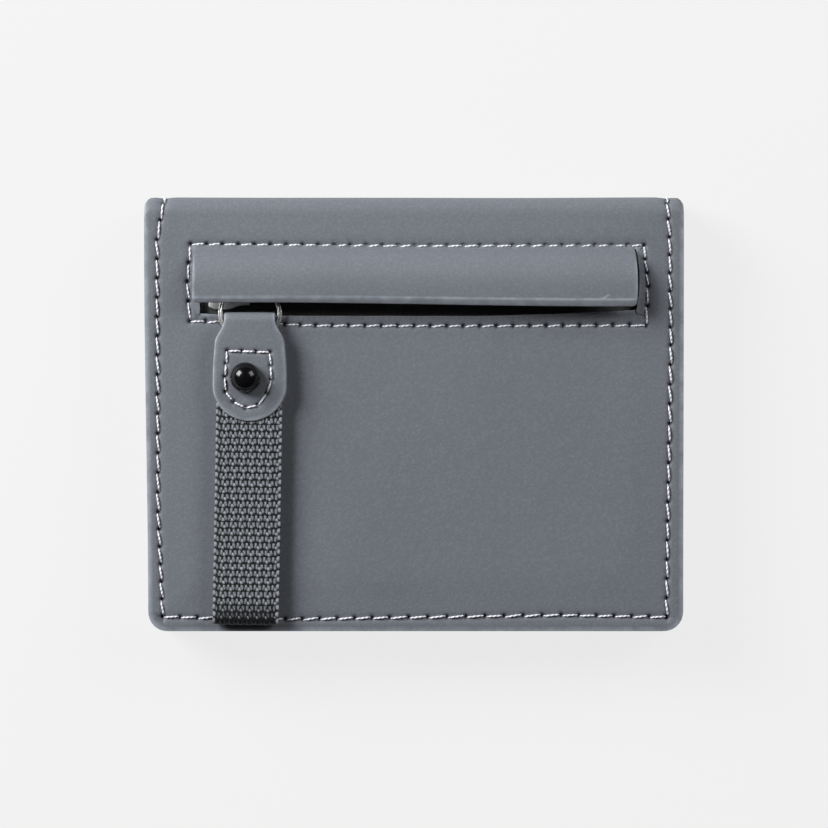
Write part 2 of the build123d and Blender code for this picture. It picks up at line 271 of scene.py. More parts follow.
def cut_window(obj, x0, x1, y0, y1):
    """Cut a rectangle out of a flat sheet."""
    for point, normal in (
        ((x0, 0, 0), (1, 0, 0)), ((x1, 0, 0), (1, 0, 0)), ((0, y0, 0), (0, 1, 0)), ((0, y1, 0), (0, 1, 0)),
    ):
        cut_line(obj, point, normal)
    delete_faces(obj, lambda c: (c[:, 0] > x0) & (c[:, 0] < x1) & (c[:, 1] > y0) & (c[:, 1] < y1))


def refine(obj, chosen, cuts=1):
    """Subdivide the faces that the test takes."""
    pick_faces(obj, chosen)
    bpy.ops.mesh.subdivide(number_cuts=cuts, quadcorner="INNERVERT")
    bpy.ops.object.mode_set(mode="OBJECT")


def flip(obj):
    make_active(obj)
    bpy.ops.object.mode_set(mode="EDIT")
    bpy.ops.mesh.select_all(action="SELECT")
    bpy.ops.mesh.flip_normals()
    bpy.ops.object.mode_set(mode="OBJECT")


def apply_modifier(obj, kind, **settings):
    make_active(obj)
    modifier = obj.modifiers.new(kind.title(), kind)
    for key, value in settings.items():
        setattr(modifier, key, value)
    bpy.ops.object.modifier_apply(modifier=modifier.name)


def join(pieces, name):
    deselect()
    for piece in pieces:
        piece.select_set(True)
    bpy.context.view_layer.objects.active = pieces[0]
    if len(pieces) > 1:
        bpy.ops.object.join()
    return name_it(name)


def smooth(obj, degrees=40):
    make_active(obj)
    bpy.ops.object.shade_smooth_by_angle(angle=math.radians(degrees))


def round_corners(points, corners, radius):
    """Draw the square corners of a grid in to quarter circles. Each corner is (x, y, side x, side y)."""
    for cx, cy, sx, sy in corners:
        dx = (points[:, 0] - (cx - sx * radius)) * sx
        dy = (points[:, 1] - (cy - sy * radius)) * sy
        inside = (dx > 0) & (dy > 0)
        reach = np.hypot(dx, dy)
        shrink = np.where(inside & (reach > 0), np.maximum(dx, dy) / np.maximum(reach, 1e-12), 1)
        points[:, 0] = np.where(inside, cx - sx * radius + sx * dx * shrink, points[:, 0])
        points[:, 1] = np.where(inside, cy - sy * radius + sy * dy * shrink, points[:, 1])


def thicken(obj, thickness, edge_round, segments=3):
    """Give a sheet its thickness on the side away from its normals, then round its cut edges."""
    if "rim_wear_and_highlight" not in obj.data.attributes:
        store(obj, "rim_wear_and_highlight", rim_nearness(obj))
    obj.data.materials.clear()
    obj.data.materials.append(None)
    obj.data.materials.append(None)
    apply_modifier(
        obj, "SOLIDIFY", thickness=thickness, offset=-1, material_offset_rim=1, use_even_offset=False,
        use_quality_normals=True,
    )
    if edge_round <= 0:
        return
    mesh = obj.data
    kinds = {}
    for face in mesh.polygons:
        for key in face.edge_keys:
            kinds.setdefault(key, set()).add(face.material_index)
    weight = mesh.attributes.new("bevel_weight_edge", "FLOAT", "EDGE")
    weight.data.foreach_set("value", [1.0 if len(kinds[e.key]) > 1 else 0.0 for e in mesh.edges])
    apply_modifier(
        obj, "BEVEL", width=edge_round, segments=segments, limit_method="WEIGHT", profile=0.5,
        use_clamp_overlap=True,
    )


def rim_nearness(obj, reach=0.45 * MM):
    """How near each vertex is to the open edge of a sheet: 1 on it, falling away inside."""
    count = {}
    for face in obj.data.polygons:
        for key in face.edge_keys:
            count[key] = count.get(key, 0) + 1
    border = sorted({v for key, n in count.items() if n == 1 for v in key})
    points = coords(obj)
    tree = KDTree(len(border))
    for i, v in enumerate(border):
        tree.insert(points[v], i)
    tree.balance()
    return np.exp(-np.array([tree.find(point)[2] for point in points]) / reach)


def finish_piece(obj, materials, degrees=40):
    obj.data.materials.clear()
    for material in materials:
        obj.data.materials.append(material)
    smooth(obj, degrees)
    return obj


# ---------------------------------------------------------------- seams


NOTCH_DEPTH = 0.35 * MM
NOTCH_REACH = 1.1 * MM
HOLE_REACH = 0.36 * MM
HOLE_SHADE_REACH = 0.42 * MM


class Seam:
    """One line of sewing: needle holes evenly spaced along a polyline of (x, s) points."""

    def __init__(self, points, pitch, closed=False, slant=5):
        corners = [np.array(p, float) * MM for p in points]
        if closed:
            corners.append(corners[0])
        self.slant = slant
        self.holes = []
        for start, end in zip(corners, corners[1:]):
            count = max(1, round(np.linalg.norm(end - start) / pitch))
            self.holes += [start + (end - start) * i / count for i in range(count)]
        self.holes.append(corners[-1])
        self.corners = corners

    def distance(self, points):
        """Distance from each (x, s) point to the line."""
        best = np.full(len(points), 1.0)
        for start, end in zip(self.corners, self.corners[1:]):
            best = np.minimum(best, segment_distance(points, start, end))
        return best

    def hole_distance(self, points):
        """Distance from each (x, s) point to the nearest needle hole."""
        best = np.full(len(points), 1.0)
        for hole in self.holes:
            best = np.minimum(best, np.linalg.norm(points - hole, axis=1))
        return best

    def press(self, points, depth=0.2 * MM, reach=0.62 * MM, hole_depth=0.55 * MM):
        """How far the leather sinks under the thread and at the needle holes."""
        s = points[:, 1]
        away = self.distance(points)
        trough = depth * bell(away / reach)
        notch = NOTCH_DEPTH * bell(away / NOTCH_REACH)
        trough += notch * smoothstep((s - BEND_START) / (3 * MM))
        # Behind the fold the sewing is slacker.
        trough *= 1 - 0.7 * smoothstep((s - FOLD_TOP) / (1.2 * MM))
        pits = hole_depth * bell(self.hole_distance(points) / HOLE_REACH)
        pits *= 1 - 0.75 * smoothstep((s - BEND_START - 2 * MM) / (2.5 * MM))
        return -trough - pits

    def pits(self, points):
        """Mask of painted shade in the needle holes, 0 to 1."""
        return np.clip(1.5 * bell(self.hole_distance(points) / HOLE_SHADE_REACH), 0, 1)


SHORTEST_STITCH = 0.5 * MM
STITCH_DIVE = 0.42 * MM


def one_stitch(radius):
    """One stitch, one unit long along X: a thread that swells in the middle and dives at both ends."""
    deselect()
    bpy.ops.mesh.primitive_cylinder_add(vertices=8, radius=radius, depth=1, end_fill_type="TRIFAN")
    obj = name_it("stitch")
    bpy.ops.object.mode_set(mode="EDIT")
    bpy.ops.mesh.select_all(action="SELECT")
    bpy.ops.transform.rotate(value=math.pi / 2, orient_axis="Y", center_override=(0, 0, 0))
    for cut in (-0.42, -0.3, -0.12, 0.12, 0.3, 0.42):
        bpy.ops.mesh.select_all(action="SELECT")
        bpy.ops.mesh.bisect(plane_co=(cut, 0, 0), plane_no=(1, 0, 0))
    bpy.ops.mesh.select_all(action="SELECT")
    bpy.ops.mesh.normals_make_consistent(inside=False)
    bpy.ops.object.mode_set(mode="OBJECT")
    points = coords(obj)
    fatness = np.sqrt(np.clip(1 - (np.abs(points[:, 0]) * 2) ** 4, 0.05, 1))
    points[:, 1:] *= fatness[:, None]
    set_coords(obj, points)
    return obj


def sew(name, seams, radius, surface, lift=0.10 * MM, seed=1, fill=0.88):
    """Sew every seam: copies of one stitch laid between needle holes and put through surface(x, s, h)."""
    pattern = one_stitch(radius)
    shape = coords(pattern)
    chance = random.Random(seed)
    copies = []
    for seam in seams:
        for start, end in zip(seam.holes, seam.holes[1:]):
            run = end - start
            length = np.linalg.norm(run)
            if length < SHORTEST_STITCH:
                continue
            heading = math.atan2(run[1], run[0]) + math.radians(seam.slant + chance.uniform(-3, 3))
            along = np.array([math.cos(heading), math.sin(heading)])
            across = np.array([-along[1], along[0]])
            reach = length * fill * chance.uniform(0.95, 1.04)
            x = shape[:, 0] * reach
            dive = (np.abs(shape[:, 0]) * 2) ** 3 * STITCH_DIVE
            middle = (start + end) / 2
            flat = middle + x[:, None] * along + shape[:, 1:2] * across
            height = shape[:, 2] + lift - dive + chance.uniform(-0.02, 0.02) * MM
            copy = bpy.data.objects.new("stitch_copy", pattern.data.copy())
            bpy.context.scene.collection.objects.link(copy)
            set_coords(copy, surface(flat[:, 0], flat[:, 1], height))
            copies.append(copy)
    bpy.data.objects.remove(pattern)
    return join(copies, name)


# ---------------------------------------------------------------- surfaces


def outline(x, s):
    """The slight taper of the real outline: the sides run in towards the free edge."""
    down = smoothstep((35 * MM - s) / (78 * MM))
    left = np.clip(-x / HALF_WIDTH, 0, 1) ** 3
    right = np.clip(x / HALF_WIDTH, 0, 1) ** 3
    return x + (left * 0.85 - right * 0.15) * down * MM


def back_surface(x, s, h):
    """The outer skin of the zipped half: flat, then round the fold, then down to the middle of the spine."""
    over = np.clip((np.abs(x) - HALF_WIDTH + CORNER) / CORNER, 0, 1)
    drawn_in = 0.7 * CORNER * over**2.4 * smoothstep((s - BEND_START + 3 * MM) / (5 * MM))
    turn = np.clip((s - BEND_START) / FOLD_RADIUS, 0, math.pi / 2)
    down = np.maximum(s - BEND_START - QUARTER_BEND, 0)
    reach = FOLD_RADIUS + h
    flat = s < BEND_START
    y = np.where(flat, s, BEND_START + reach * np.sin(turn))
    z = np.where(flat, TOP + h, TOP - FOLD_RADIUS + reach * np.cos(turn) - down)
    return np.column_stack([outline(x, s), y - drawn_in, z])


def front_surface(x, s, h):
    """The same skin on the half that lies on the surface."""
    points = back_surface(x, s, h)
    points[:, 2] = TOP - points[:, 2]
    return points


def wander(x, s, size):
    """Slow unevenness of a hand-finished hide."""
    return size * (
        0.5 * np.sin(x / (17 * MM) + 1.3) * np.cos(s / (13 * MM))
        + 0.3 * np.sin(x / (9 * MM) - s / (11 * MM))
        + 0.2 * np.cos(s / (6.5 * MM) + 0.7)
    )


def edge_seams(pitch):
    """Sewing round the two sides and the free edge, and over the fold."""
    end = SHEET_END / MM
    left = [(-51.0, end), (-51.0, 43.4), (-52.3, 35.5), (-52.4, 8), (-52.7, -20), (-51.9, -41.3)]
    bottom = [(-51.9, -41.3), (-30, -41.9), (-5, -41.5), (30, -41.0), (51.6, -41.4)]
    right = [(51.6, -41.4), (51.9, -18), (52.4, 14), (52.1, 36), (51.6, 43.4), (51.6, end)]
    return [Seam(left, pitch, slant=8), Seam(bottom, pitch, slant=6), Seam(right, pitch, slant=8)]


def pocket_seam(pitch):
    """Sewing round the zip window."""
    corners = [
        (-45.5, 34.6), (0, 34.2), (46.9, 34.3), (47.6, 26), (47.3, 18.0), (10, 17.9), (-20, 18.0),
        (-45.7, 18.9), (-46.1, 27),
    ]
    return Seam(corners, pitch, closed=True, slant=6)


def tab_seam(pitch):
    """D-shaped sewing round the ball."""
    corners = [
        (-37.85, 12.8), (-29.2, 12.5), (-28.9, 6.9), (-29.85, 4.1), (-31.7, 1.75), (-34.2, 1.2), (-36.6, 2.5),
        (-38.15, 4.5), (-38.3, 7.6),
    ]
    return Seam(corners, pitch, closed=True, slant=3)


# ---------------------------------------------------------------- materials


def add_node(tree, kind, place, **settings):
    node = tree.nodes.new(kind)
    node.location = place
    for key, value in settings.items():
        setattr(node, key, value)
    return node


def new_group(name, inputs, outputs):
    """Empty shader group with named sockets."""
    group = bpy.data.node_groups.new(name, "ShaderNodeTree")
    for label, kind, value in inputs:
        socket = group.interface.new_socket(label, in_out="INPUT", socket_type=kind)
        if value is not None:
            socket.default_value = value
    for label, kind in outputs:
        group.interface.new_socket(label, in_out="OUTPUT", socket_type=kind)
    start = add_node(group, "NodeGroupInput", (-900, 0))
    end = add_node(group, "NodeGroupOutput", (900, 0))
    return group, start, end


def mix_colour(tree, place, blend="MIX"):
    return add_node(tree, "ShaderNodeMix", place, data_type="RGBA", blend_type=blend)


def grain_group():
    """Fine pebbled grain: a height, and a mask of its hollows."""
    group, start, end = new_group(
        "Leather Grain",
        [("Vector", "NodeSocketVector", None), ("Scale", "NodeSocketFloat", 3600.0)],
        [("Height", "NodeSocketFloat"), ("Hollows", "NodeSocketFloat"), ("Mottle", "NodeSocketFloat")],
    )
    cells = add_node(group, "ShaderNodeTexVoronoi", (-500, 200), feature="SMOOTH_F1")
    cells.inputs["Smoothness"].default_value = 0.6
    fine = add_node(group, "ShaderNodeTexNoise", (-500, -60))
    fine.inputs["Detail"].default_value = 3
    half = add_node(group, "ShaderNodeMath", (-700, -60), operation="MULTIPLY")
    half.inputs[1].default_value = 0.45
    broad = add_node(group, "ShaderNodeTexNoise", (-500, -320))
    broad.inputs["Scale"].default_value = 38
    broad.inputs["Detail"].default_value = 4
    both = add_node(group, "ShaderNodeMath", (-200, 100), operation="MULTIPLY_ADD")
    both.inputs[1].default_value = 0.55
    hollows = add_node(group, "ShaderNodeMapRange", (100, -40))
    hollows.inputs["From Min"].default_value = 0.35
    hollows.inputs["From Max"].default_value = 0.85
    link = group.links.new
    for node in (cells, fine, broad):
        link(start.outputs["Vector"], node.inputs["Vector"])
    link(start.outputs["Scale"], cells.inputs["Scale"])
    link(start.outputs["Scale"], half.inputs[0])
    link(half.outputs[0], fine.inputs["Scale"])
    link(cells.outputs["Distance"], both.inputs[0])
    link(fine.outputs["Fac"], both.inputs[2])
    link(both.outputs[0], hollows.inputs["Value"])
    link(both.outputs[0], end.inputs["Height"])
    link(hollows.outputs[0], end.inputs["Hollows"])
    link(broad.outputs["Fac"], end.inputs["Mottle"])
    return group


def wear_and_highlight_group():
    """Burnishing that follows the cut edges of a sheet, broken up by noise; on the flap the same mask also
    carries a painted highlight along the roll and painted light on the rolled face.
    """
    group, start, end = new_group(
        "Edge Wear And Highlight",
        [("Vector", "NodeSocketVector", None), ("Reach", "NodeSocketFloat", 0.5)],
        [("Mask", "NodeSocketFloat")],
    )
    # The rim attribute holds edge wear, and on the flap a painted highlight as well.
    rim_wear_and_highlight = add_node(group, "ShaderNodeAttribute", (-600, 120), attribute_name="rim_wear_and_highlight")
    patches = add_node(group, "ShaderNodeTexNoise", (-600, -120))
    patches.inputs["Scale"].default_value = 420
    patches.inputs["Detail"].default_value = 3
    spread = add_node(group, "ShaderNodeMath", (-300, 0), operation="MULTIPLY")
    mask = add_node(group, "ShaderNodeMapRange", (300, 0))
    mask.inputs["From Min"].default_value = 0.05
    link = group.links.new
    link(start.outputs["Vector"], patches.inputs["Vector"])
    link(rim_wear_and_highlight.outputs["Fac"], spread.inputs[0])
    link(patches.outputs["Fac"], spread.inputs[1])
    link(spread.outputs[0], mask.inputs["Value"])
    link(start.outputs["Reach"], mask.inputs["From Max"])
    link(mask.outputs[0], end.inputs["Mask"])
    return group


def weave_group():
    """Plain weave: a height and a mask of the gaps between yarns."""
    group, start, end = new_group(
        "Cloth Weave",
        [("Vector", "NodeSocketVector", None), ("Scale", "NodeSocketFloat", 2600.0)],
        [("Height", "NodeSocketFloat"), ("Gaps", "NodeSocketFloat")],
    )
    warp = add_node(group, "ShaderNodeTexWave", (-500, 200), bands_direction="X", wave_profile="SIN")
    weft = add_node(group, "ShaderNodeTexWave", (-500, -120), bands_direction="Y", wave_profile="SIN")
    product = add_node(group, "ShaderNodeMath", (-200, 40), operation="MULTIPLY")
    gaps = add_node(group, "ShaderNodeMapRange", (200, -60))
    gaps.inputs["From Min"].default_value = 0.35
    gaps.inputs["From Max"].default_value = 0.02
    link = group.links.new
    for wave in (warp, weft):
        wave.inputs["Distortion"].default_value = 0.6
        wave.inputs["Detail"].default_value = 1
        link(start.outputs["Vector"], wave.inputs["Vector"])
        link(start.outputs["Scale"], wave.inputs["Scale"])
    link(warp.outputs["Fac"], product.inputs[0])
    link(weft.outputs["Fac"], product.inputs[1])
    link(product.outputs[0], gaps.inputs["Value"])
    link(product.outputs[0], end.inputs["Height"])
    link(gaps.outputs[0], end.inputs["Gaps"])
    return group


def new_material(name):
    if name in bpy.data.materials:
        raise RuntimeError(f"the frame already has a finish called {name}")
    material = bpy.data.materials.new(name)
    material.use_nodes = True
    tree = material.node_tree
    shader = tree.nodes["Principled BSDF"]
    return material, tree, shader


def shade(colour, factor):
    return tuple(min(1, c * factor) for c in colour) + (1,)


def place_group(tree, group, place):
    node = add_node(tree, "ShaderNodeGroup", place)
    node.node_tree = group
    return node


def leather_material(name, colour, grain, groups, roughness=0.58, edge_light=1.7):
    """Matt grained leather whose cut edges are burnished a little lighter; the edge mask also carries painted
    highlights where a sheet stores them, and the needle holes are painted near black as shade.
    """
    material, tree, shader = new_material(name)
    where = add_node(tree, "ShaderNodeTexCoord", (-1300, 0))
    pebble = place_group(tree, groups["grain"], (-1000, 100))
    wear_highlight_mask = place_group(tree, groups["wear_highlight_mask"], (-1000, -240))
    hole = add_node(tree, "ShaderNodeAttribute", (-1000, -460), attribute_name="pits")
    base = mix_colour(tree, (-700, 220))
    base.inputs["A"].default_value = shade(colour, 0.93)
    base.inputs["B"].default_value = shade(colour, 1.07)
    hollow = mix_colour(tree, (-480, 220), "MULTIPLY")
    hollow.inputs["B"].default_value = (0.78, 0.78, 0.79, 1)
    # Edge colour: burnished wear, plus a painted highlight where the flap stores one.
    wear_and_highlight = mix_colour(tree, (-260, 220))
    wear_and_highlight.inputs["B"].default_value = shade(colour, edge_light)
    # Painted shade: the needle holes are darkened to near black.
    dark = mix_colour(tree, (-60, 220))
    dark.inputs["B"].default_value = (0.004, 0.004, 0.005, 1)
    rough = add_node(tree, "ShaderNodeMapRange", (-260, -40))
    rough.inputs["To Min"].default_value = roughness - 0.07
    rough.inputs["To Max"].default_value = roughness + 0.07
    bump = add_node(tree, "ShaderNodeBump", (-260, -320))
    bump.inputs["Strength"].default_value = 0.55
    bump.inputs["Distance"].default_value = grain
    link = tree.links.new
    link(where.outputs["Object"], pebble.inputs["Vector"])
    link(where.outputs["Object"], wear_highlight_mask.inputs["Vector"])
    link(pebble.outputs["Mottle"], base.inputs["Factor"])
    link(base.outputs["Result"], hollow.inputs["A"])
    link(pebble.outputs["Hollows"], hollow.inputs["Factor"])
    link(hollow.outputs["Result"], wear_and_highlight.inputs["A"])
    link(wear_highlight_mask.outputs["Mask"], wear_and_highlight.inputs["Factor"])
    link(wear_and_highlight.outputs["Result"], dark.inputs["A"])
    link(hole.outputs["Fac"], dark.inputs["Factor"])
    link(dark.outputs["Result"], shader.inputs["Base Color"])
    link(pebble.outputs["Mottle"], rough.inputs["Value"])
    link(rough.outputs[0], shader.inputs["Roughness"])
    link(pebble.outputs["Height"], bump.inputs["Height"])
    link(bump.outputs["Normal"], shader.inputs["Normal"])
    shader.inputs["Specular IOR Level"].default_value = 0.35
    return material


def cloth_material(name, colour, groups, scale=2600.0, roughness=0.85):
    """Plain woven cloth."""
    material, tree, shader = new_material(name)
    where = add_node(tree, "ShaderNodeTexCoord", (-1000, 0))
    weave = place_group(tree, groups["weave"], (-750, 0))
    weave.inputs["Scale"].default_value = scale
    fuzz = add_node(tree, "ShaderNodeTexNoise", (-750, -260))
    fuzz.inputs["Scale"].default_value = 900
    base = mix_colour(tree, (-450, 120))
    base.inputs["A"].default_value = shade(colour, 0.75)
    base.inputs["B"].default_value = shade(colour, 1.35)
    gaps = mix_colour(tree, (-220, 120), "MULTIPLY")
    gaps.inputs["B"].default_value = (0.3, 0.3, 0.3, 1)
    bump = add_node(tree, "ShaderNodeBump", (-220, -240))
    bump.inputs["Distance"].default_value = 0.08 * MM
    bump.inputs["Strength"].default_value = 0.8
    link = tree.links.new
    link(where.outputs["Object"], weave.inputs["Vector"])
    link(where.outputs["Object"], fuzz.inputs["Vector"])
    link(fuzz.outputs["Fac"], base.inputs["Factor"])
    link(base.outputs["Result"], gaps.inputs["A"])
    link(weave.outputs["Gaps"], gaps.inputs["Factor"])
    link(gaps.outputs["Result"], shader.inputs["Base Color"])
    link(weave.outputs["Height"], bump.inputs["Height"])
    link(bump.outputs["Normal"], shader.inputs["Normal"])
    shader.inputs["Roughness"].default_value = roughness
    shader.inputs["Sheen Weight"].default_value = 0.15
    return material


def webbing_material(colour):
    """Ribbed webbing: colour follows the yarn height, with painted highlights on the yarn tops and painted
    shade in the gaps between them.
    """
    material, tree, shader = new_material("webbing_yarn")
    where = add_node(tree, "ShaderNodeTexCoord", (-1000, 0))
    depth = add_node(tree, "ShaderNodeAttribute", (-1000, 200), attribute_name="yarn")
    fibre = add_node(tree, "ShaderNodeTexNoise", (-750, -160))
    fibre.inputs["Scale"].default_value = 5200
    fibre.inputs["Detail"].default_value = 2
    # Painted light: near black in the low gaps as painted shade, bright on the high yarns as painted
    # highlight.
    painted_light_ramp = add_node(tree, "ShaderNodeValToRGB", (-750, 200))
    painted_light_ramp.color_ramp.elements[0].position = 0.05
    painted_light_ramp.color_ramp.elements[0].color = shade(colour, 0.02)
    painted_light_ramp.color_ramp.elements[1].position = 0.9
    painted_light_ramp.color_ramp.elements[1].color = shade(colour, 2.5)
    middle = painted_light_ramp.color_ramp.elements.new(0.45)
    middle.color = shade(colour, 0.11)
    speckle = mix_colour(tree, (-400, 160), "MULTIPLY")
    speckle.inputs["B"].default_value = (0.66, 0.66, 0.67, 1)
    bump = add_node(tree, "ShaderNodeBump", (-400, -160))
    bump.inputs["Distance"].default_value = 0.04 * MM
    bump.inputs["Strength"].default_value = 0.6
    link = tree.links.new
    link(where.outputs["Object"], fibre.inputs["Vector"])
    link(depth.outputs["Fac"], painted_light_ramp.inputs["Fac"])
    link(painted_light_ramp.outputs["Color"], speckle.inputs["A"])
    link(fibre.outputs["Fac"], speckle.inputs["Factor"])
    link(speckle.outputs["Result"], shader.inputs["Base Color"])
    link(fibre.outputs["Fac"], bump.inputs["Height"])
    link(bump.outputs["Normal"], shader.inputs["Normal"])
    shader.inputs["Roughness"].default_value = 0.6
    shader.inputs["Specular IOR Level"].default_value = 0.2
    return material


def thread_material(colour):
    """Twisted two-ply thread."""
    material, tree, shader = new_material("sewing_thread")
    where = add_node(tree, "ShaderNodeTexCoord", (-1000, 0))
    turn = add_node(tree, "ShaderNodeMapping", (-800, 0))
    turn.inputs["Rotation"].default_value = (0, 0, math.radians(38))
    twist = add_node(tree, "ShaderNodeTexWave", (-560, 0), bands_direction="X")
    twist.inputs["Scale"].default_value = 480
    twist.inputs["Distortion"].default_value = 1.0
    base = mix_colour(tree, (-260, 120))
    base.inputs["A"].default_value = shade(colour, 0.55)
    base.inputs["B"].default_value = shade(colour, 1.25)
    bump = add_node(tree, "ShaderNodeBump", (-260, -160))
    bump.inputs["Distance"].default_value = 0.08 * MM
    link = tree.links.new
    link(where.outputs["Object"], turn.inputs["Vector"])
    link(turn.outputs["Vector"], twist.inputs["Vector"])
    link(twist.outputs["Fac"], base.inputs["Factor"])
    link(base.outputs["Result"], shader.inputs["Base Color"])
    link(twist.outputs["Fac"], bump.inputs["Height"])
    link(bump.outputs["Normal"], shader.inputs["Normal"])
    shader.inputs["Roughness"].default_value = 0.55
    shader.inputs["Sheen Weight"].default_value = 0.3
    return material


def metal_material(name, colour, low, high):
    """Polished plating with faint rub marks."""
    material, tree, shader = new_material(name)
    where = add_node(tree, "ShaderNodeTexCoord", (-900, 0))
    rubs = add_node(tree, "ShaderNodeTexNoise", (-650, 0))
    rubs.inputs["Scale"].default_value = 700
    rubs.inputs["Detail"].default_value = 4
    base = mix_colour(tree, (-350, 160))
    base.inputs["A"].default_value = shade(colour, 0.86)
    base.inputs["B"].default_value = shade(colour, 1.08)
    rough = add_node(tree, "ShaderNodeMapRange", (-350, -120))
    rough.inputs["To Min"].default_value = low
    rough.inputs["To Max"].default_value = high
    link = tree.links.new
    link(where.outputs["Object"], rubs.inputs["Vector"])
    link(rubs.outputs["Fac"], base.inputs["Factor"])
    link(base.outputs["Result"], shader.inputs["Base Color"])
    link(rubs.outputs["Fac"], rough.inputs["Value"])
    link(rough.outputs[0], shader.inputs["Roughness"])
    shader.inputs["Metallic"].default_value = 1
    return material


def enamel_material():
    """Gloss black enamel with a trace of orange peel."""
    material, tree, shader = new_material("gloss_enamel")
    where = add_node(tree, "ShaderNodeTexCoord", (-900, 0))
    peel = add_node(tree, "ShaderNodeTexNoise", (-650, 0))
    peel.inputs["Scale"].default_value = 900
    base = mix_colour(tree, (-350, 160))
    base.inputs["A"].default_value = (0.0015, 0.0015, 0.002, 1)
    base.inputs["B"].default_value = (0.004, 0.004, 0.005, 1)
    bump = add_node(tree, "ShaderNodeBump", (-350, -160))
    bump.inputs["Distance"].default_value = 0.001 * MM
    bump.inputs["Strength"].default_value = 0.2
    link = tree.links.new
    link(where.outputs["Object"], peel.inputs["Vector"])
    link(peel.outputs["Fac"], base.inputs["Factor"])
    link(base.outputs["Result"], shader.inputs["Base Color"])
    link(peel.outputs["Fac"], bump.inputs["Height"])
    link(bump.outputs["Normal"], shader.inputs["Normal"])
    shader.inputs["Roughness"].default_value = 0.17
    shader.inputs["Specular IOR Level"].default_value = 0.32
    return material


def finish(name):
    """A finish made by the first operator."""
    material = bpy.data.materials.get(name)
    if material is None:
        raise RuntimeError(f"the finish {name} isn't made yet")
    return material


class WALLET_OT_finishes(bpy.types.Operator):
    """Make the shader groups and the materials"""

    bl_idname = "wallet.finishes"
    bl_label = "Finishes"

    def execute(self, context):
        leather = context.scene.wallet_leather
        groups = {"grain": grain_group(), "wear_highlight_mask": wear_and_highlight_group(), "weave": weave_group()}
        leather_material("outer_leather", leather.colour, leather.grain, groups)
        leather_material("cut_leather", shade(leather.colour, 1.12)[:3], leather.grain, groups, 0.5, 1.5)
        leather_material("slot_leather", leather.inner_colour, leather.grain, groups, 0.6, 1.3)
        cloth_material("lining_cloth", (0.035, 0.036, 0.04), groups)
        cloth_material("zip_cloth", (0.07, 0.07, 0.071), groups, 1300.0, 0.7)
        cloth_material("coil_nylon", (0.02, 0.02, 0.022), groups, 4200.0, 0.4)
        webbing_material(context.scene.wallet_webbing.yarn)
        thread_material(context.scene.wallet_thread.colour)
        metal_material("polished_nickel", (0.93, 0.93, 0.92), 0.30, 0.36)
        metal_material("satin_nickel", (0.95, 0.95, 0.94), 0.42, 0.50)
        enamel_material()
        return {"FINISHED"}


# ---------------------------------------------------------------- covers


def cover_heights(points, seams):
    """Sunk seams, a soft crown and slow unevenness, with a mask of painted shade in the needle holes."""
    flat = points[:, :2]
    crown, edge_drop, seam_inset = 0.28 * MM, 0.16 * MM, 3.4 * MM
    height = wander(points[:, 0], points[:, 1], 0.10 * MM)
    inset = np.minimum(HALF_WIDTH - np.abs(points[:, 0]), points[:, 1] - FREE_Y)
    before_fold = smoothstep((42 * MM - points[:, 1]) / (6 * MM))
    height += crown * smoothstep((inset - seam_inset) / (9 * MM)) * before_fold
    height -= edge_drop * np.exp(-inset / (0.9 * MM))
    pits = np.zeros(len(points))
    for seam in seams:
        height += seam.press(flat)
        pits = np.maximum(pits, seam.pits(flat))
    return height, pits


def cover_sheet(name, seams, window=None):
    """Flat blank of one cover, fine beside its seams, with its window cut out."""
    step = 1.1 * MM
    obj = add_grid(name, -HALF_WIDTH, HALF_WIDTH, FREE_Y, SHEET_END, step, step)
    if window:
        left, right, low, high = window
        lean = (left[1] - left[0]) / (high - low)
        for point, normal in (
            ((left[0], high, 0), (1, lean, 0)), ((right, 0, 0), (1, 0, 0)), ((0, low, 0), (0, 1, 0)),
            ((0, high, 0), (0, 1, 0)),
        ):
            cut_line(obj, point, normal)

        def inside(c):
            from_left = c[:, 0] - left[0] - (high - c[:, 1]) * lean
            return (from_left > 0) & (c[:, 0] < right) & (c[:, 1] > low) & (c[:, 1] < high)

        delete_faces(obj, inside)

    refine(obj, lambda c: nearest(c[:, :2], seams) < 1.25 * MM)
    refine(obj, lambda c: nearest(c[:, :2], seams) < 0.85 * MM)
    refine(obj, lambda c: (np.abs(c[:, 0]) > HALF_WIDTH - 1.5 * MM) & (c[:, 1] > BEND_START - 3 * MM))
    points = coords(obj)
    corners = [(-HALF_WIDTH, FREE_Y, -1, -1), (HALF_WIDTH, FREE_Y, 1, -1)]
    round_corners(points, corners, COVER_CORNER)
    return obj, points


def nearest(points, seams):
    """Distance from each (x, s) point to the nearest seam."""
    return np.min([seam.distance(points) for seam in seams], axis=0)


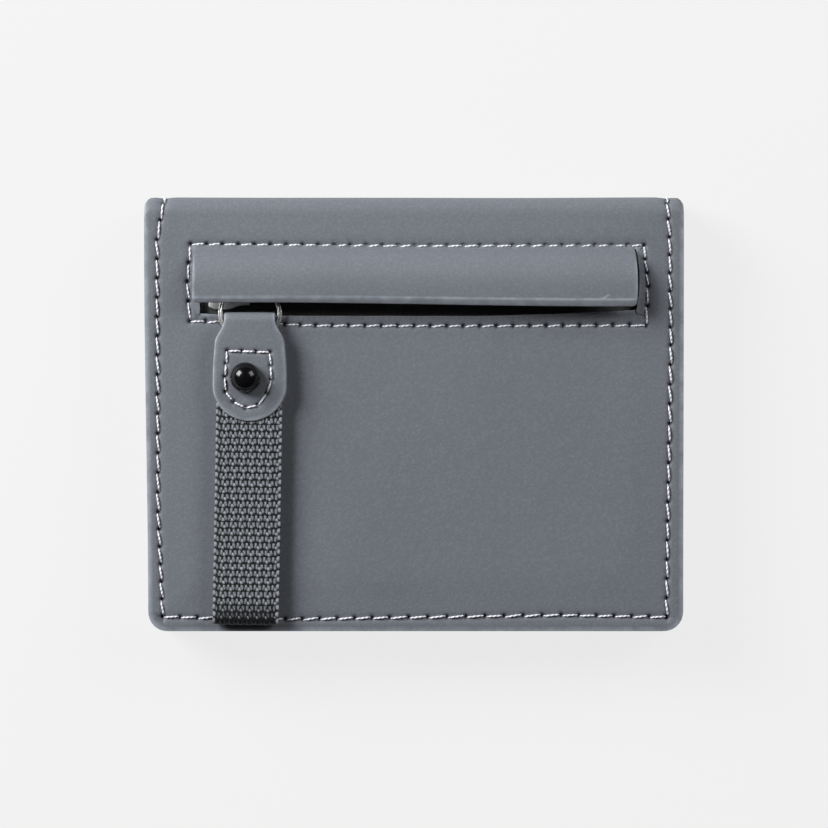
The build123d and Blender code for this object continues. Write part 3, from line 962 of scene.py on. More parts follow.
class WALLET_OT_back_cover(bpy.types.Operator):
    """Model the outer leather of the zipped half, with its window"""

    bl_idname = "wallet.back_cover"
    bl_label = "Back cover"

    def execute(self, context):
        thread = context.scene.wallet_thread
        edges = edge_seams(thread.edge_pitch)
        seams = edges + [pocket_seam(thread.pocket_pitch)]
        left = (FLAP_LOW.x + 0.5 * MM, FLAP_LOW.x + 1.35 * MM)
        right = FLAP_HIGH.x + 0.75 * MM
        low = FLAP_HIGH.y - 13.45 * MM
        high = FLAP_HIGH.y + 0.15 * MM
        obj, points = cover_sheet("back_cover_leather", seams, (left, right, low, high))
        height, pits = cover_heights(points, seams)
        # The lower lip of the window sags in the middle and rises at both ends.
        across = (points[:, 0] - left[1]) / (right - left[1])
        lip = np.exp(-np.abs(points[:, 1] - low) / (0.9 * MM)) * (points[:, 1] < low + 0.1 * MM)
        rise = 0.5 * np.exp(-np.clip(across, 0, 1) / 0.08)
        rise += 1.25 * np.clip((across - 0.62) / 0.38, 0, 1) ** 1.5
        beyond = np.clip(np.maximum(-across, across - 1) * (right - left[1]) / (1.2 * MM), 0, 1)
        lip *= 1 - smoothstep(beyond)
        points[:, 1] += lip * rise * MM
        # The right end of the slot bows outwards.
        slot = bell((points[:, 0] - right) / (0.8 * MM)) * (points[:, 1] < high + 0.1 * MM)
        middle = (low + high) / 2 + 0.4 * MM
        slot *= 1 - smoothstep((low - points[:, 1]) / (1.2 * MM))
        points[:, 0] -= slot * 0.75 * MM * ((points[:, 1] - middle) / (6.5 * MM)) ** 2
        height -= 0.2 * MM * lip
        set_coords(obj, back_surface(points[:, 0], points[:, 1], height))
        # Needle holes painted dark as shade.
        store(obj, "pits", pits)
        thicken(obj, COVER_SHEET, context.scene.wallet_leather.edge_round)
        finish_piece(obj, [finish("outer_leather"), finish("cut_leather")], 50)
        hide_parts("back_cover")
        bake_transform(obj)

        stitches = sew("back_edge_threads", edges, thread.radius, back_surface, seed=3)
        finish_piece(stitches, [finish("sewing_thread")], 80)
        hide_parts("back_edge_stitching", "spine_stitching")
        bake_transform(stitches)

        sewn = sew("zip_pocket_threads", seams[-1:], thread.radius, back_surface, seed=5)
        finish_piece(sewn, [finish("sewing_thread")], 80)
        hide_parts("zip_pocket_stitching")
        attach(sewn, "back_half")
        return {"FINISHED"}


class WALLET_OT_front_cover(bpy.types.Operator):
    """Model the outer leather of the half that lies on the surface"""

    bl_idname = "wallet.front_cover"
    bl_label = "Front cover"

    def execute(self, context):
        thread = context.scene.wallet_thread
        seams = edge_seams(thread.edge_pitch)
        obj, points = cover_sheet("front_cover_leather", seams)
        height, pits = cover_heights(points, seams)
        # The crown of this half is pressed flat by what it rests on.
        height = np.minimum(height, 0)
        height -= 0.3 * MM * np.exp(-((nearest(points[:, :2], seams) / (0.55 * MM)) ** 2))
        set_coords(obj, front_surface(points[:, 0], points[:, 1], height))
        flip(obj)
        # Needle holes painted dark as shade.
        store(obj, "pits", pits)
        thicken(obj, COVER_SHEET, context.scene.wallet_leather.edge_round)
        finish_piece(obj, [finish("outer_leather"), finish("cut_leather")], 50)
        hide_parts("front_cover", "spine_cover")
        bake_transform(obj)

        stitches = sew("front_edge_threads", seams, thread.radius * 0.9, front_surface, -0.26 * MM, seed=9)
        flip(stitches)
        finish_piece(stitches, [finish("sewing_thread")], 80)
        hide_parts("front_edge_stitching")
        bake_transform(stitches)
        return {"FINISHED"}


# ---------------------------------------------------------------- zip flap


class WALLET_OT_flap(bpy.types.Operator):
    """Model the leather flap that stands over the zip"""

    bl_idname = "wallet.flap"
    bl_label = "Zip flap"

    def execute(self, context):
        thickness = 1.05 * MM
        root = FLAP_HIGH.y + 1.1 * MM
        free = FLAP_LOW.y
        rise = FLAP_HIGH.z - TOP - 0.1 * MM
        sewn_strip = 1.0 * MM
        obj = add_grid("zip_flap_leather", FLAP_LOW.x, FLAP_HIGH.x, free, root, 0.6 * MM, 0.35 * MM)
        points = coords(obj)
        round_corners(points, [(FLAP_LOW.x, free, -1, -1), (FLAP_HIGH.x, free, 1, -1)], 0.9 * MM)
        to_edge = points[:, 1] - free
        out = np.clip((root - sewn_strip - points[:, 1]) / (root - sewn_strip - free), 0, 1)
        across = (points[:, 0] - FLAP_LOW.x) / (FLAP_HIGH.x - FLAP_LOW.x)
        skin = cover_heights(points, [pocket_seam(context.scene.wallet_thread.pocket_pitch)])[0]
        skin = (skin + 0.07 * MM) * (1 - smoothstep(out / 0.35))
        points[:, 2] = TOP + skin + rise * (1 - (1 - out) ** 4.2)
        points[:, 2] += 0.08 * MM * np.sin(across * 9) * out
        # The leather rolls over towards its cut edge.
        rolled = 1.15 * MM + 0.25 * MM * across
        roll_drop = 0.5 * MM
        points[:, 2] -= roll_drop * np.clip(1 - to_edge / rolled, 0, 1) ** 1.2
        # The free edge runs lower on the right, and the right end is a little bowed.
        edge_slope, half_end = 0.8 * MM, 6.5 * MM
        points[:, 1] -= smoothstep((across - 0.15) / 0.8) * edge_slope * out
        bow = 0.35 * MM * (1 - ((points[:, 1] - 27 * MM) / half_end) ** 2) - 0.15 * MM
        points[:, 0] += bow * np.clip((across - 0.9) / 0.1, 0, 1)
        set_coords(obj, points)
        # Edge mask: burnished wear along the border, plus a painted highlight line where the leather starts
        # to roll over.
        wear_and_highlight = np.maximum(0.7 * rim_nearness(obj), bell((to_edge - rolled) / (0.24 * MM)))
        # Painted light: the rolled face is made lighter to offset the shade it falls in.
        wear_and_highlight = np.maximum(wear_and_highlight, 0.42 * (to_edge < rolled))
        wear_and_highlight *= smoothstep((root - 0.8 * MM - points[:, 1]) / (4 * MM))
        # One small scuff near the right end.
        scuff = segment_distance(points[:, :2], np.array([38.0, 23.4]) * MM, np.array([39.6, 24.1]) * MM)
        wear_and_highlight = np.maximum(wear_and_highlight, 0.8 * bell(scuff / (0.2 * MM)))
        store(obj, "pits", np.zeros(len(points)))
        store(obj, "rim_wear_and_highlight", wear_and_highlight)
        thicken(obj, thickness, context.scene.wallet_leather.edge_round * 1.3)
        finish_piece(obj, [finish("outer_leather"), finish("cut_leather")], 50)
        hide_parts("zip_flap")
        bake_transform(obj)
        return {"FINISHED"}


# ---------------------------------------------------------------- pull tab


def tab_half_width(y):
    """Half the tab's width at each place along it: narrow neck, shoulders, then nearly straight sides."""
    neck = 5.2 * MM
    full = (TAB_HIGH.x - TAB_LOW.x) / 2
    drop = (TAB_HIGH.y - y) / MM
    shoulder = smoothstep((drop - 1.6) / 4.6) * 0.78
    belly = smoothstep((drop - 3.5) / 9.5) * 0.22
    return neck + (full - neck) * (shoulder + belly)


class WALLET_OT_pull_tab(bpy.types.Operator):
    """Model the folded leather tab, its sewing and its ball rivet"""

    bl_idname = "wallet.pull_tab"
    bl_label = "Pull tab"

    def execute(self, context):
        thread = context.scene.wallet_thread
        leather = 0.85 * MM
        outer = (TAB_HIGH.z - TAB_LOW.z) / 2
        fold_y = TAB_HIGH.y - outer
        full = (TAB_HIGH.x - TAB_LOW.x) / 2
        length = fold_y - TAB_LOW.y
        bend = math.pi * outer
        seam = tab_seam(thread.tab_pitch)
        # s runs from the round end of the top layer, over the fold, to the round end of the lower layer.
        total = 2 * length + bend
        obj = add_grid("pull_tab_strap", -full, full, 0, total, 0.5 * MM, 0.5 * MM)

        def by_seam(c):
            at = np.column_stack([c[:, 0] + TAB_X, c[:, 1] + TAB_LOW.y])
            return seam.distance(at) < 1.0 * MM

        refine(obj, by_seam, 1)
        points = coords(obj)
        corners = [(-full, 0, -1, -1), (full, 0, 1, -1), (-full, total, -1, 1), (full, total, 1, 1)]
        round_corners(points, corners, full * 0.999)
        x, s = points[:, 0], points[:, 1]
        half = total / 2
        mirrored = half - np.abs(s - half)
        round_fold = fold_y + outer * np.sin((mirrored - length) / outer)
        at_y = np.where(mirrored < length, TAB_LOW.y + mirrored, round_fold)
        straight = smoothstep((mirrored - full * 0.7) / (full * 0.6))
        x = x * (1 + (tab_half_width(at_y) / full - 1) * straight)
        flat = np.column_stack([x + TAB_X, at_y])
        on_top = s < length + bend / 2
        # Painted shade in the needle holes of the top layer.
        pits = np.where(on_top, seam.pits(flat), 0)
        edge = tab_half_width(at_y) - np.abs(x)
        height = np.where(on_top, seam.press(flat, 0.16 * MM, 0.6 * MM, 0.45 * MM), 0)
        edge_drop, rivet_drop, rivet_reach = 0.14 * MM, 0.14 * MM, 3.4 * MM
        height -= edge_drop * np.exp(-edge / (0.8 * MM)) * straight
        around = np.hypot(flat[:, 0] - RIVET.x, flat[:, 1] - RIVET.y)
        height -= np.where(on_top, rivet_drop * np.exp(-((around / rivet_reach) ** 4)), 0)
        turn = np.clip((s - length) / outer, 0, math.pi)
        reach = outer + height
        y = np.where(turn > 0, fold_y + reach * np.sin(turn), TAB_LOW.y + s)
        y = np.where(s > length + bend, TAB_LOW.y + (total - s), y)
        z = (TAB_LOW.z + TAB_HIGH.z) / 2 + reach * np.cos(turn)
        set_coords(obj, np.column_stack([x + TAB_X, y, z]))
        store(obj, "pits", pits)
        thicken(obj, leather, context.scene.wallet_leather.edge_round)
        finish_piece(obj, [finish("outer_leather"), finish("cut_leather")], 50)
        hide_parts("pull_tab_leather")
        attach(obj, "pull_tab")

        def on_tab(px, ps, h):
            return np.column_stack([px, ps, TAB_HIGH.z + h])

        back_tack = Seam([(-34.7, 12.95), (-32.5, 12.35)], thread.tab_pitch)
        sewn = sew("pull_tab_threads", [seam, back_tack], thread.radius, on_tab, seed=11)
        finish_piece(sewn, [finish("sewing_thread")], 80)
        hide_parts("pull_tab_stitching")
        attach(sewn, "pull_tab")

        ball = model_ball()
        finish_piece(ball, [finish("gloss_enamel")], 60)
        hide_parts("rivet_ball")
        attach(ball, "pull_tab")
        return {"FINISHED"}


def model_ball():
    """Ball cap of the rivet: a sphere cut off at its seat, with a turned collar under it."""
    radius = (BALL_HIGH.x - BALL_LOW.x) / 2
    centre = Vector((RIVET.x, RIVET.y, BALL_HIGH.z - radius))
    deselect()
    bpy.ops.mesh.primitive_uv_sphere_add(segments=64, ring_count=40, radius=radius, location=centre)
    ball = name_it("ball_rivet")
    bpy.ops.object.transform_apply(location=True)
    seat = BALL_LOW.z - 0.12 * MM
    bpy.ops.object.mode_set(mode="EDIT")
    bpy.ops.mesh.select_all(action="SELECT")
    bpy.ops.mesh.bisect(plane_co=(0, 0, seat + 0.35 * MM), plane_no=(0, 0, 1), clear_inner=True)
    bpy.ops.mesh.extrude_region_move(TRANSFORM_OT_translate={"value": (0, 0, -0.35 * MM)})
    bpy.ops.mesh.fill()
    bpy.ops.mesh.select_all(action="SELECT")
    bpy.ops.mesh.normals_make_consistent(inside=False)
    bpy.ops.object.mode_set(mode="OBJECT")
    return ball


# ---------------------------------------------------------------- webbing


class WALLET_OT_webbing(bpy.types.Operator):
    """Model the ribbed webbing loop and the ends that are sewn into the tab"""

    bl_idname = "wallet.webbing"
    bl_label = "Webbing"

    def execute(self, context):
        settings = context.scene.wallet_webbing
        width = 0.978 * (LOOP_HIGH.x - LOOP_LOW.x)
        outer = (LOOP_HIGH.z - LOOP_LOW.z) / 2
        bend_y = LOOP_LOW.y + outer + 0.3 * MM
        tuck_y = ENDS_HIGH.y
        length = tuck_y - bend_y
        bend = math.pi * outer
        relief, edge_drop = 0.34 * MM, 0.25 * MM
        parts = []
        # s runs from the tucked end of the top layer down to the bend, and back up the lower layer.
        for name, s0, s1, step in (
            ("webbing_top", 0, length + bend * 0.75, 0.15 * MM),
            ("webbing_under", length + bend * 0.75, 2 * length + bend, 0.40 * MM),
        ):
            obj = add_grid(name, -width / 2, width / 2, s0, s1, step, step)
            points = coords(obj)
            x, s = points[:, 0], points[:, 1]
            yarn = weave_height(x, s, settings.float_pitch, settings.rib_pitch, width)
            height = (yarn - 0.6) * relief
            height -= edge_drop * np.clip((np.abs(x) / (width / 2)) ** 14, 0, 1)
            turn = np.clip((s - length) / outer, 0, math.pi)
            reach = outer + height
            y = np.where(s < length, tuck_y - s, bend_y - reach * np.sin(turn))
            y = np.where(s > length + bend, bend_y + (s - length - bend), y)
            z = (LOOP_LOW.z + LOOP_HIGH.z) / 2 + reach * np.cos(turn)
            down = smoothstep((-1.8 * MM - y) / (15 * MM))
            z -= down * 0.08 * MM
            slope = np.clip((tuck_y - y) / length, 0, 1)
            lean = -settings.lean * slope ** 1.3
            rib_tilt = -0.012 * x
            edge_wave = 0.07 * MM * np.sign(x) * np.sin(s / settings.rib_pitch * math.pi)
            edge_wave *= (np.abs(x) / width * 2) ** 6
            place = np.column_stack([TAB_X + x + lean + edge_wave, y + rib_tilt, z])
            set_coords(obj, place)
            # The yarn height also sets the colour: painted shade where low, painted highlight where high.
            store(obj, "yarn", yarn)
            thickness = 0.55 * MM
            apply_modifier(obj, "SOLIDIFY", thickness=thickness, offset=-1, use_even_offset=False)
            parts.append(obj)
        loop = join(parts, "webbing_strap")
        flip(loop)
        finish_piece(loop, [finish("webbing_yarn")], 70)
        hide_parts("webbing_loop", "webbing_ends")
        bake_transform(loop)
        return {"FINISHED"}


# The yarns of one group: both ends as shares of its width and of the rib, thickness in mm, and height.
YARNS = (
    ((0.12, 0.20), (0.06, 0.66), 0.13, 0.92),
    ((0.10, 0.68), (0.30, 0.78), 0.10, 0.62),
    ((0.36, 0.70), (0.42, 0.80), 0.14, 1.00),
    ((0.48, 0.78), (0.64, 0.68), 0.10, 0.60),
    ((0.62, 0.22), (0.70, 0.64), 0.13, 0.88),
    ((0.24, 0.14), (0.50, 0.12), 0.08, 0.42),
)
GROUND_HEIGHT = 0.26
EYE_RADIUS = 0.26 * MM


def weave_height(x, s, float_pitch, rib_pitch, width):
    """Height, 0 to 1, of the woven face: in each rib, short yarns stand round a low eye, which the webbing
    colour paints dark as shade.
    """
    rib = s / rib_pitch
    row = np.floor(rib)
    v = rib - row
    shift = np.where(row % 2 == 0, 0.0, 0.19)
    u = (x + width / 2) / float_pitch + 0.35 + shift
    u = u - np.floor(u)
    eye = np.hypot((u - 0.38) * float_pitch, (v - 0.36) * rib_pitch)
    height = GROUND_HEIGHT * (1 - bell(eye / EYE_RADIUS))
    place = np.column_stack([u * float_pitch, v * rib_pitch])
    for start, end, thick, size in YARNS:
        start, end = (np.array(p) * (float_pitch, rib_pitch) for p in (start, end))
        gap = segment_distance(place, start, end)
        height = np.maximum(height, size * bell(gap / (thick * MM)))
    height *= 1 - 0.35 * smoothstep((s - 49 * MM) / (6 * MM))
    edge = np.abs(x) / (width / 2)
    selvage = smoothstep((edge - 0.93) / 0.05) * (0.55 + 0.35 * np.sin(s / rib_pitch * 2 * math.pi))
    return np.clip(np.maximum(height * (1 - smoothstep((edge - 0.92) / 0.06) * 0.6), selvage), 0, 1)


# ---------------------------------------------------------------- ring, slider, zip


class WALLET_OT_ring(bpy.types.Operator):
    """Model the split ring: two turns of springy wire"""

    bl_idname = "wallet.ring"
    bl_label = "Split ring"

    def execute(self, context):
        wire = 0.27 * MM
        centre = (RING_LOW + RING_HIGH) / 2
        half_x = (RING_HIGH.x - RING_LOW.x) / 2 - wire
        half_y = (RING_HIGH.y - RING_LOW.y) / 2 - wire
        steps = 48
        turns = 2.12
        deselect()
        bpy.ops.curve.primitive_nurbs_path_add()
        curve = name_it("split_ring")
        spline = curve.data.splines[0]
        count = round(steps * turns)
        spline.points.add(count - len(spline.points))
        for i, point in enumerate(spline.points):
            angle = 2 * math.pi * i / steps + 0.6
            step = smoothstep(np.array([(i / steps - 0.9) / 0.25]))[0]
            inward = 0.46 * MM * step
            lift = (step - 0.5) * 0.46 * MM
            at = (
                centre.x + (half_x - inward) * math.cos(angle),
                centre.y + (half_y - inward) * math.sin(angle),
                centre.z + lift,
                1,
            )
            point.co = at
        spline.order_u = 3
        spline.use_endpoint_u = True
        curve.location = (0, 0, 0)
        curve.data.bevel_depth = wire
        curve.data.bevel_resolution = 4
        curve.data.use_fill_caps = True
        curve.data.resolution_u = 3
        make_active(curve)
        bpy.ops.object.convert(target="MESH")
        ring = name_it("split_ring")
        finish_piece(ring, [finish("polished_nickel")], 70)
        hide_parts("pull_ring")
        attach(ring, "pull_ring")
        return {"FINISHED"}


def add_block(name, low, high, bevel, segments=3):
    """Box between two corners with rounded edges."""
    deselect()
    low, high = Vector(low), Vector(high)
    bpy.ops.mesh.primitive_cube_add(size=1, location=(low + high) / 2)
    obj = name_it(name)
    obj.scale = high - low
    bpy.ops.object.transform_apply(location=True, scale=True)
    apply_modifier(obj, "BEVEL", width=bevel, segments=segments, limit_method="ANGLE")
    return obj


class WALLET_OT_slider(bpy.types.Operator):
    """Model the zip slider: waisted plates, flanges, post and bail"""

    bl_idname = "wallet.slider"
    bl_label = "Zip slider"

    def execute(self, context):
        length = PLATE_HIGH.x - PLATE_LOW.x
        plate = 0.9 * MM
        parts = []
        plates = (
            ("slider_top", PLATE_HIGH.z - plate, PLATE_HIGH.z),
            ("slider_floor", PLATE_LOW.z, PLATE_LOW.z + 0.6 * MM),
        )
        for name, z0, z1 in plates:
            low, high = (PLATE_LOW.x, PLATE_LOW.y, z0), (PLATE_HIGH.x, PLATE_HIGH.y, z1)
            part = add_block(name, low, high, 0.22 * MM)
            for cut in (0.15, 0.35, 0.55, 0.75, 0.9):
                cut_line(part, (PLATE_LOW.x + cut * length, 0, 0), (1, 0, 0))
            points = coords(part)
            along = (points[:, 0] - PLATE_LOW.x) / length
            middle = (PLATE_LOW.y + PLATE_HIGH.y) / 2
            waist = 1 - 0.24 * smoothstep((along - 0.45) / 0.4) - 0.14 * smoothstep((0.16 - along) / 0.16)
            points[:, 1] = middle + (points[:, 1] - middle) * waist
            set_coords(part, points)
            parts.append(part)
        for y0 in (PLATE_LOW.y + 0.05 * MM, PLATE_HIGH.y - 0.65 * MM):
            low = (PLATE_LOW.x + 0.2 * length, y0, PLATE_LOW.z + 0.3 * MM)
            high = (PLATE_LOW.x + 0.62 * length, y0 + 0.6 * MM, TAPE_LOW.z - 0.15 * MM)
            parts.append(add_block("slider_flange", low, high, 0.12 * MM))
        middle = (PLATE_LOW.y + PLATE_HIGH.y) / 2
        low = (PLATE_LOW.x + 0.6 * MM, middle - 0.25 * MM, PLATE_LOW.z + 0.3 * MM)
        high = (PLATE_LOW.x + 2.6 * MM, middle + 0.25 * MM, PLATE_HIGH.z - 0.4 * MM)
        parts.append(add_block("slider_post", low, high, 0.08 * MM))
        body = join(parts, "slider_shell")
        finish_piece(body, [finish("satin_nickel")], 40)
        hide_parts("slider_body")
        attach(body, "zip_slider")
        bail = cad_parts["slider_bail"]
        bail.data.materials.clear()
        bail.data.materials.append(finish("polished_nickel"))
        return {"FINISHED"}


class WALLET_OT_zip(bpy.types.Operator):
    """Model the zip's woven tapes and finish its coils and stops"""

    bl_idname = "wallet.zip"
    bl_label = "Zip"

    def execute(self, context):
        for node, low, high, seam_side in (
            ("zip_tape_lower", TAPE_LOW, TAPE_HIGH, 1),
            ("zip_tape_upper", UPPER_TAPE_LOW, UPPER_TAPE_HIGH, -1),
        ):
            tape = add_grid(node + "_woven", low.x, high.x, low.y, high.y, 0.8 * MM, 0.3 * MM)
            points = coords(tape)
            seam_y = high.y if seam_side > 0 else low.y
            from_seam = np.abs(points[:, 1] - seam_y) / MM
            # A rolled bead along the seam and two woven cords beside it.
            ridge = 0.10 * bell((from_seam - 0.5) / 0.4)
            ridge += 0.07 * bell((from_seam - 2.0) / 0.35) + 0.05 * bell((from_seam - 3.2) / 0.35)
            points[:, 2] = high.z - 0.13 * MM + ridge * MM
            set_coords(tape, points)
            store(tape, "pits", np.zeros(len(points)))
            thicken(tape, 0.35 * MM, 0.08 * MM, 2)
            finish_piece(tape, [finish("zip_cloth"), finish("zip_cloth")], 50)
            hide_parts(node)
            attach(tape, "back_half")
        for node in ("zip_coil_upper", "zip_coil_lower"):
            coil = model_coil(node)
            finish_piece(coil, [finish("coil_nylon")], 50)
            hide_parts(node)
            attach(coil, "back_half")
        for node in ("zip_stop_closed", "zip_stop_open", "rivet_post"):
            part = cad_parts[node]
            part.data.materials.clear()
            part.data.materials.append(finish("polished_nickel"))
        return {"FINISHED"}


def model_coil(node):
    """One side of the coil: flattened loops of nylon, close together along the tape."""
    low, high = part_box(node)
    pitch = 1.25 * MM
    thick = 0.52 * MM
    deselect()
    bpy.ops.mesh.primitive_torus_add(
        major_radius=0.5, minor_radius=0.5, major_segments=14, minor_segments=6,
        rotation=(0, math.pi / 2, 0), location=(0, 0, 0),
    )
    loop = name_it("coil_loop")
    bpy.ops.object.transform_apply(rotation=True)
    points = coords(loop)
    points /= np.abs(points).max(axis=0)
    span = (high - low) / 2
    points *= np.array([thick / 2, span.y, span.z])
    set_coords(loop, points)
    middle = (low + high) / 2
    copies = []
    for i in range(int((high.x - low.x - thick) / pitch) + 1):
        copy = bpy.data.objects.new("coil_copy", loop.data.copy())
        bpy.context.scene.collection.objects.link(copy)
        move = np.array([low.x + thick / 2 + i * pitch, middle.y, middle.z])
        set_coords(copy, coords(copy) + move)
        copies.append(copy)
    bpy.data.objects.remove(loop)
    return join(copies, node + "_loops")


# ---------------------------------------------------------------- inside


def panel(node, name, material, body, up, hem=0.0, step=1.6 * MM, corner=4 * MM):
    """One flat inner sheet, with its mouth turned over as a hem where it has one."""
    low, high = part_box(node)
    obj = add_grid(name, low.x, high.x, low.y, high.y, step, step / 2 if hem else step)
    points = coords(obj)
    if corner:
        round_corners(points, [(low.x, low.y, -1, -1), (high.x, low.y, 1, -1)], corner)
    height = wander(points[:, 0], points[:, 1], 0.03 * MM)
    if hem:
        from_mouth = high.y - points[:, 1]
        height += 0.06 * MM * smoothstep((hem - from_mouth) / (0.8 * MM))
        height -= 0.10 * MM * np.exp(-(((from_mouth - hem - 0.6 * MM) / (0.5 * MM)) ** 2))
    points[:, 0] = outline(points[:, 0], points[:, 1])
    face = high.z if up else low.z
    points[:, 2] = face - 0.07 * MM + height if up else face + 0.07 * MM - height
    set_coords(obj, points)
    if not up:
        flip(obj)
    store(obj, "pits", np.zeros(len(points)))
    thickness = (high.z - low.z) - 0.14 * MM
    thicken(obj, thickness, min(0.2 * MM, thickness * 0.35), 2)
    finish_piece(obj, [finish(material), finish(material)], 50)
    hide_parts(node)
    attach(obj, body)
    return obj


class WALLET_OT_inside(bpy.types.Operator):
    """Model the card slots, dividers, linings and the coin pocket"""

    bl_idname = "wallet.inside"
    bl_label = "Inside"

    def execute(self, context):
        for half, up in (("front", True), ("back", False)):
            body = f"{half}_half"
            divider = "note_divider" if half == "front" else "back_divider"
            panel(divider, divider + "_leather", "slot_leather", body, up, hem=3 * MM)
            for i in (1, 2, 3):
                node = f"{half}_card_slot_{i}"
                panel(node, node + "_leather", "slot_leather", body, up, hem=3 * MM)
        for node, name, body, support in (
            ("front_lining", "front_lining_cloth", "front_half", "front_cover"),
            ("coin_pocket_back", "coin_back_cloth", "back_half", "back_divider"),
        ):
            cloth = panel(node, name, "lining_cloth", body, True, step=2.5 * MM)
        self.coin_front()
        self.gusset(context)
        self.spine_lining()
        self.inner_threads(context)
        return {"FINISHED"}

    def coin_front(self):
        """Lining behind the cover, with the mouth that the zip closes."""
        low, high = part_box("coin_pocket_front")
        obj = add_grid("coin_front_cloth", low.x, high.x, low.y, high.y, 2.5 * MM, 2.5 * MM)
        x0, x1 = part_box("zip_stop_closed")[0].x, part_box("zip_stop_open")[1].x
        y0, y1 = PLATE_LOW.y - 1 * MM, PLATE_HIGH.y + 1 * MM
        cut_window(obj, x0, x1, y0, y1)
        points = coords(obj)
        points[:, 2] = high.z - 0.05 * MM + wander(points[:, 0], points[:, 1], 0.03 * MM)
        set_coords(obj, points)
        thicken(obj, 0.2 * MM, 0.05 * MM, 2)
        finish_piece(obj, [finish("lining_cloth")] * 2, 50)
        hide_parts("coin_pocket_front")
        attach(obj, "back_half")

    def gusset(self, context):
        """Leather band that closes the coin pocket all round."""
        low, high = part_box("coin_pocket_gusset")
        obj = add_grid("coin_gusset_band", low.x, high.x, low.y, high.y, 1.6 * MM, 1.6 * MM)
        width = 4 * MM
        x0, x1, y0, y1 = low.x + width, high.x - width, low.y + width, high.y - width
        cut_window(obj, x0, x1, y0, y1)
        points = coords(obj)
        round_corners(points, [(low.x, low.y, -1, -1), (high.x, low.y, 1, -1)], 4 * MM)
        points[:, 0] = outline(points[:, 0], points[:, 1])
        points[:, 2] = high.z - 0.08 * MM
        set_coords(obj, points)
        store(obj, "pits", np.zeros(len(points)))
        thicken(obj, high.z - low.z - 0.16 * MM, context.scene.wallet_leather.edge_round * 1.8)
        finish_piece(obj, [finish("slot_leather"), finish("cut_leather")], 50)
        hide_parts("coin_pocket_gusset")
        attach(obj, "back_half")

    def spine_lining(self):
        """Strip of cloth inside the fold."""
        low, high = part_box("spine_lining")
        obj = add_grid("spine_lining_cloth", low.x, high.x, low.z, high.z, 2 * MM, 0.8 * MM)
        points = coords(obj)
        bow = 0.08 * MM * np.cos((points[:, 1] - (low.z + high.z) / 2) / (high.z - low.z) * math.pi)
        place = np.column_stack([points[:, 0], np.full(len(points), low.y + 0.08 * MM) - bow, points[:, 1]])
        set_coords(obj, place)
        store(obj, "pits", np.zeros(len(points)))
        thicken(obj, 0.3 * MM, 0.06 * MM, 2)
        finish_piece(obj, [finish("lining_cloth")] * 2, 50)
        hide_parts("spine_lining")
        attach(obj, "spine")

    def inner_threads(self, context):
        """The other side of the edge sewing, seen when the wallet is open."""
        thread = context.scene.wallet_thread
        for half, up in (("front", True), ("back", False)):
            boxes = [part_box(f"{half}_card_slot_{i}") for i in (1, 2, 3)]
            divider_low, divider_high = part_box("note_divider" if up else "back_divider")

            def face(x, s, h, boxes=boxes, up=up, base=(divider_low, divider_high)):
                z = np.full(len(x), base[1].z if up else base[0].z)
                for low, high in boxes:
                    z = np.where(s < high.y, high.z if up else low.z, z)
                return np.column_stack([x, s, z + h if up else z - h])

            end = divider_high.y / MM - 1
            points = [(-51.9, end), (-51.9, 8), (-50.9, -41.3), (51.2, -41.3), (51.9, 8), (51.9, end)]
            seam = Seam(points, thread.edge_pitch, slant=4)
            sewn = sew(f"{half}_inner_threads", [seam], thread.radius * 0.8, face, 0.0, seed=21)
            if not up:
                flip(sewn)
            finish_piece(sewn, [finish("sewing_thread")], 80)
            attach(sewn, f"{half}_half")


# ---------------------------------------------------------------- stage


# Name, place and size in metres, and power in watts
SOFTBOXES = (
    ("left_softbox", (-0.64, 0.42, 0.46), 0.46, 14.8),
    ("right_softbox", (0.62, 0.42, 0.48), 0.46, 4.4),
)


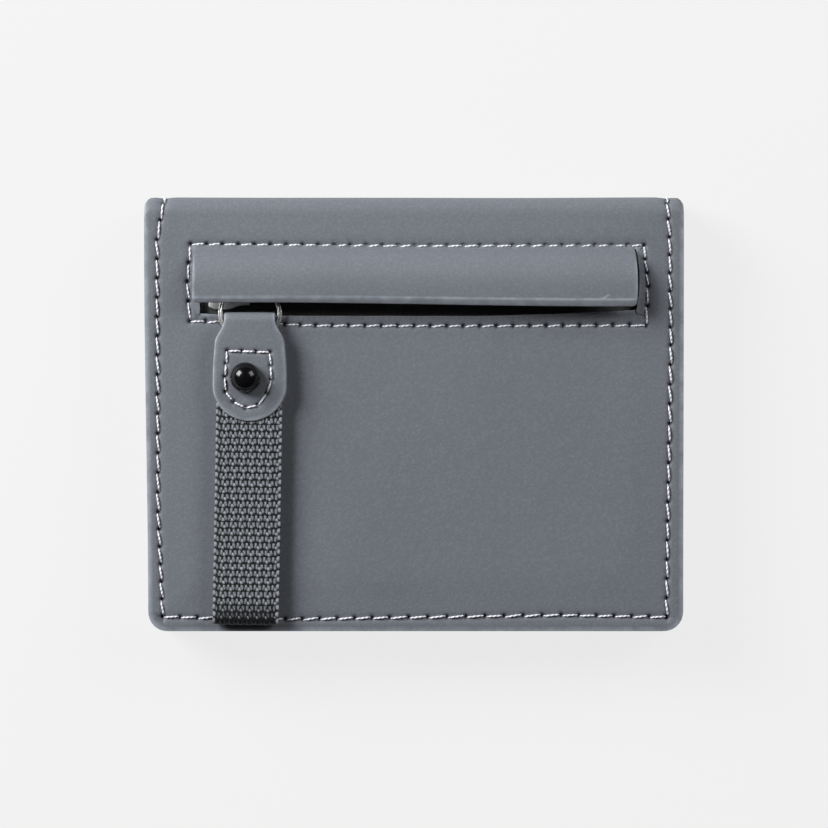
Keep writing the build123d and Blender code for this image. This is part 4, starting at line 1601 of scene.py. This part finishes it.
class WALLET_OT_stage(bpy.types.Operator):
    """Place the floor, the lights and the camera"""

    bl_idname = "wallet.stage"
    bl_label = "Stage"

    def execute(self, context):
        stage = context.scene.wallet_stage
        deselect()
        bpy.ops.mesh.primitive_plane_add(size=6, location=(0, 0, -0.02 * MM))
        floor = name_it("studio_floor")
        material, _, shader = new_material("pale_floor")
        shader.inputs["Base Color"].default_value = tuple(stage.floor) + (1,)
        shader.inputs["Roughness"].default_value = 0.9
        shader.inputs["Specular IOR Level"].default_value = 0.1
        shader.inputs["Emission Color"].default_value = (1, 1, 1, 1)
        shader.inputs["Emission Strength"].default_value = 0.8
        floor.data.materials.append(material)
        for name, place, size, power in SOFTBOXES:
            self.softbox(name, place, size, power)
        world = bpy.data.worlds.new("studio")
        context.scene.world = world
        world.use_nodes = True
        sky = world.node_tree.nodes["Background"]
        sky.inputs["Color"].default_value = (1, 1, 1, 1)
        sky.inputs["Strength"].default_value = 0.045
        self.camera(context, stage)
        context.scene.view_settings.view_transform = "Standard"
        return {"FINISHED"}

    def softbox(self, name, place, size, power):
        """Square area light aimed at the wallet."""
        deselect()
        bpy.ops.object.light_add(type="AREA", location=place)
        lamp = bpy.context.active_object
        lamp.name = name
        lamp.data.shape = "SQUARE"
        lamp.data.size = size
        lamp.data.energy = power
        lamp.rotation_euler = (Vector((0, 0, TOP)) - Vector(place)).to_track_quat("-Z", "Y").to_euler()

    def camera(self, context, stage):
        """Camera straight above the zipped side, with the fold at the top of the picture."""
        deselect()
        bpy.ops.object.camera_add(location=(0, 0, TOP + stage.camera_height), rotation=(0, 0, 0))
        camera = bpy.context.active_object
        camera.name = "product_camera"
        camera.data.sensor_width = 36
        camera.data.lens = 36 * stage.camera_height / stage.view_width
        camera.data.clip_end = 20
        context.scene.camera = camera


# ---------------------------------------------------------------- panel


OPERATORS = (
    WALLET_OT_finishes,
    WALLET_OT_stage,
    WALLET_OT_back_cover,
    WALLET_OT_front_cover,
    WALLET_OT_flap,
    WALLET_OT_zip,
    WALLET_OT_slider,
    WALLET_OT_ring,
    WALLET_OT_pull_tab,
    WALLET_OT_webbing,
    WALLET_OT_inside,
)
SETTINGS = {
    "wallet_leather": WalletLeather,
    "wallet_thread": WalletThread,
    "wallet_webbing": WalletWebbing,
    "wallet_stage": WalletStage,
}


class WALLET_PT_panel(bpy.types.Panel):
    """Sizes, colours and the steps of the wallet"""

    bl_label = "Bifold Wallet"
    bl_idname = "WALLET_PT_panel"
    bl_space_type = "VIEW_3D"
    bl_region_type = "UI"
    bl_category = "Wallet"

    def draw(self, context):
        for attribute, group in SETTINGS.items():
            box = self.layout.box()
            box.label(text=attribute.replace("_", " ").title())
            for key in group.__annotations__:
                box.prop(getattr(context.scene, attribute), key)
        for operator in OPERATORS:
            self.layout.operator(operator.bl_idname)


CLASSES = tuple(SETTINGS.values()) + OPERATORS + (WALLET_PT_panel,)


def register():
    for cls in CLASSES:
        bpy.utils.register_class(cls)
    for attribute, group in SETTINGS.items():
        setattr(bpy.types.Scene, attribute, bpy.props.PointerProperty(type=group))


def unregister():
    for attribute in SETTINGS:
        delattr(bpy.types.Scene, attribute)
    for cls in reversed(CLASSES):
        bpy.utils.unregister_class(cls)


def main():
    register()
    bpy.ops.wallet.finishes()
    bpy.ops.wallet.stage()
    bpy.ops.wallet.back_cover()
    bpy.ops.wallet.front_cover()
    bpy.ops.wallet.flap()
    bpy.ops.wallet.zip()
    bpy.ops.wallet.slider()
    bpy.ops.wallet.ring()
    bpy.ops.wallet.pull_tab()
    bpy.ops.wallet.webbing()
    bpy.ops.wallet.inside()


if __name__ == "__main__":
    main()
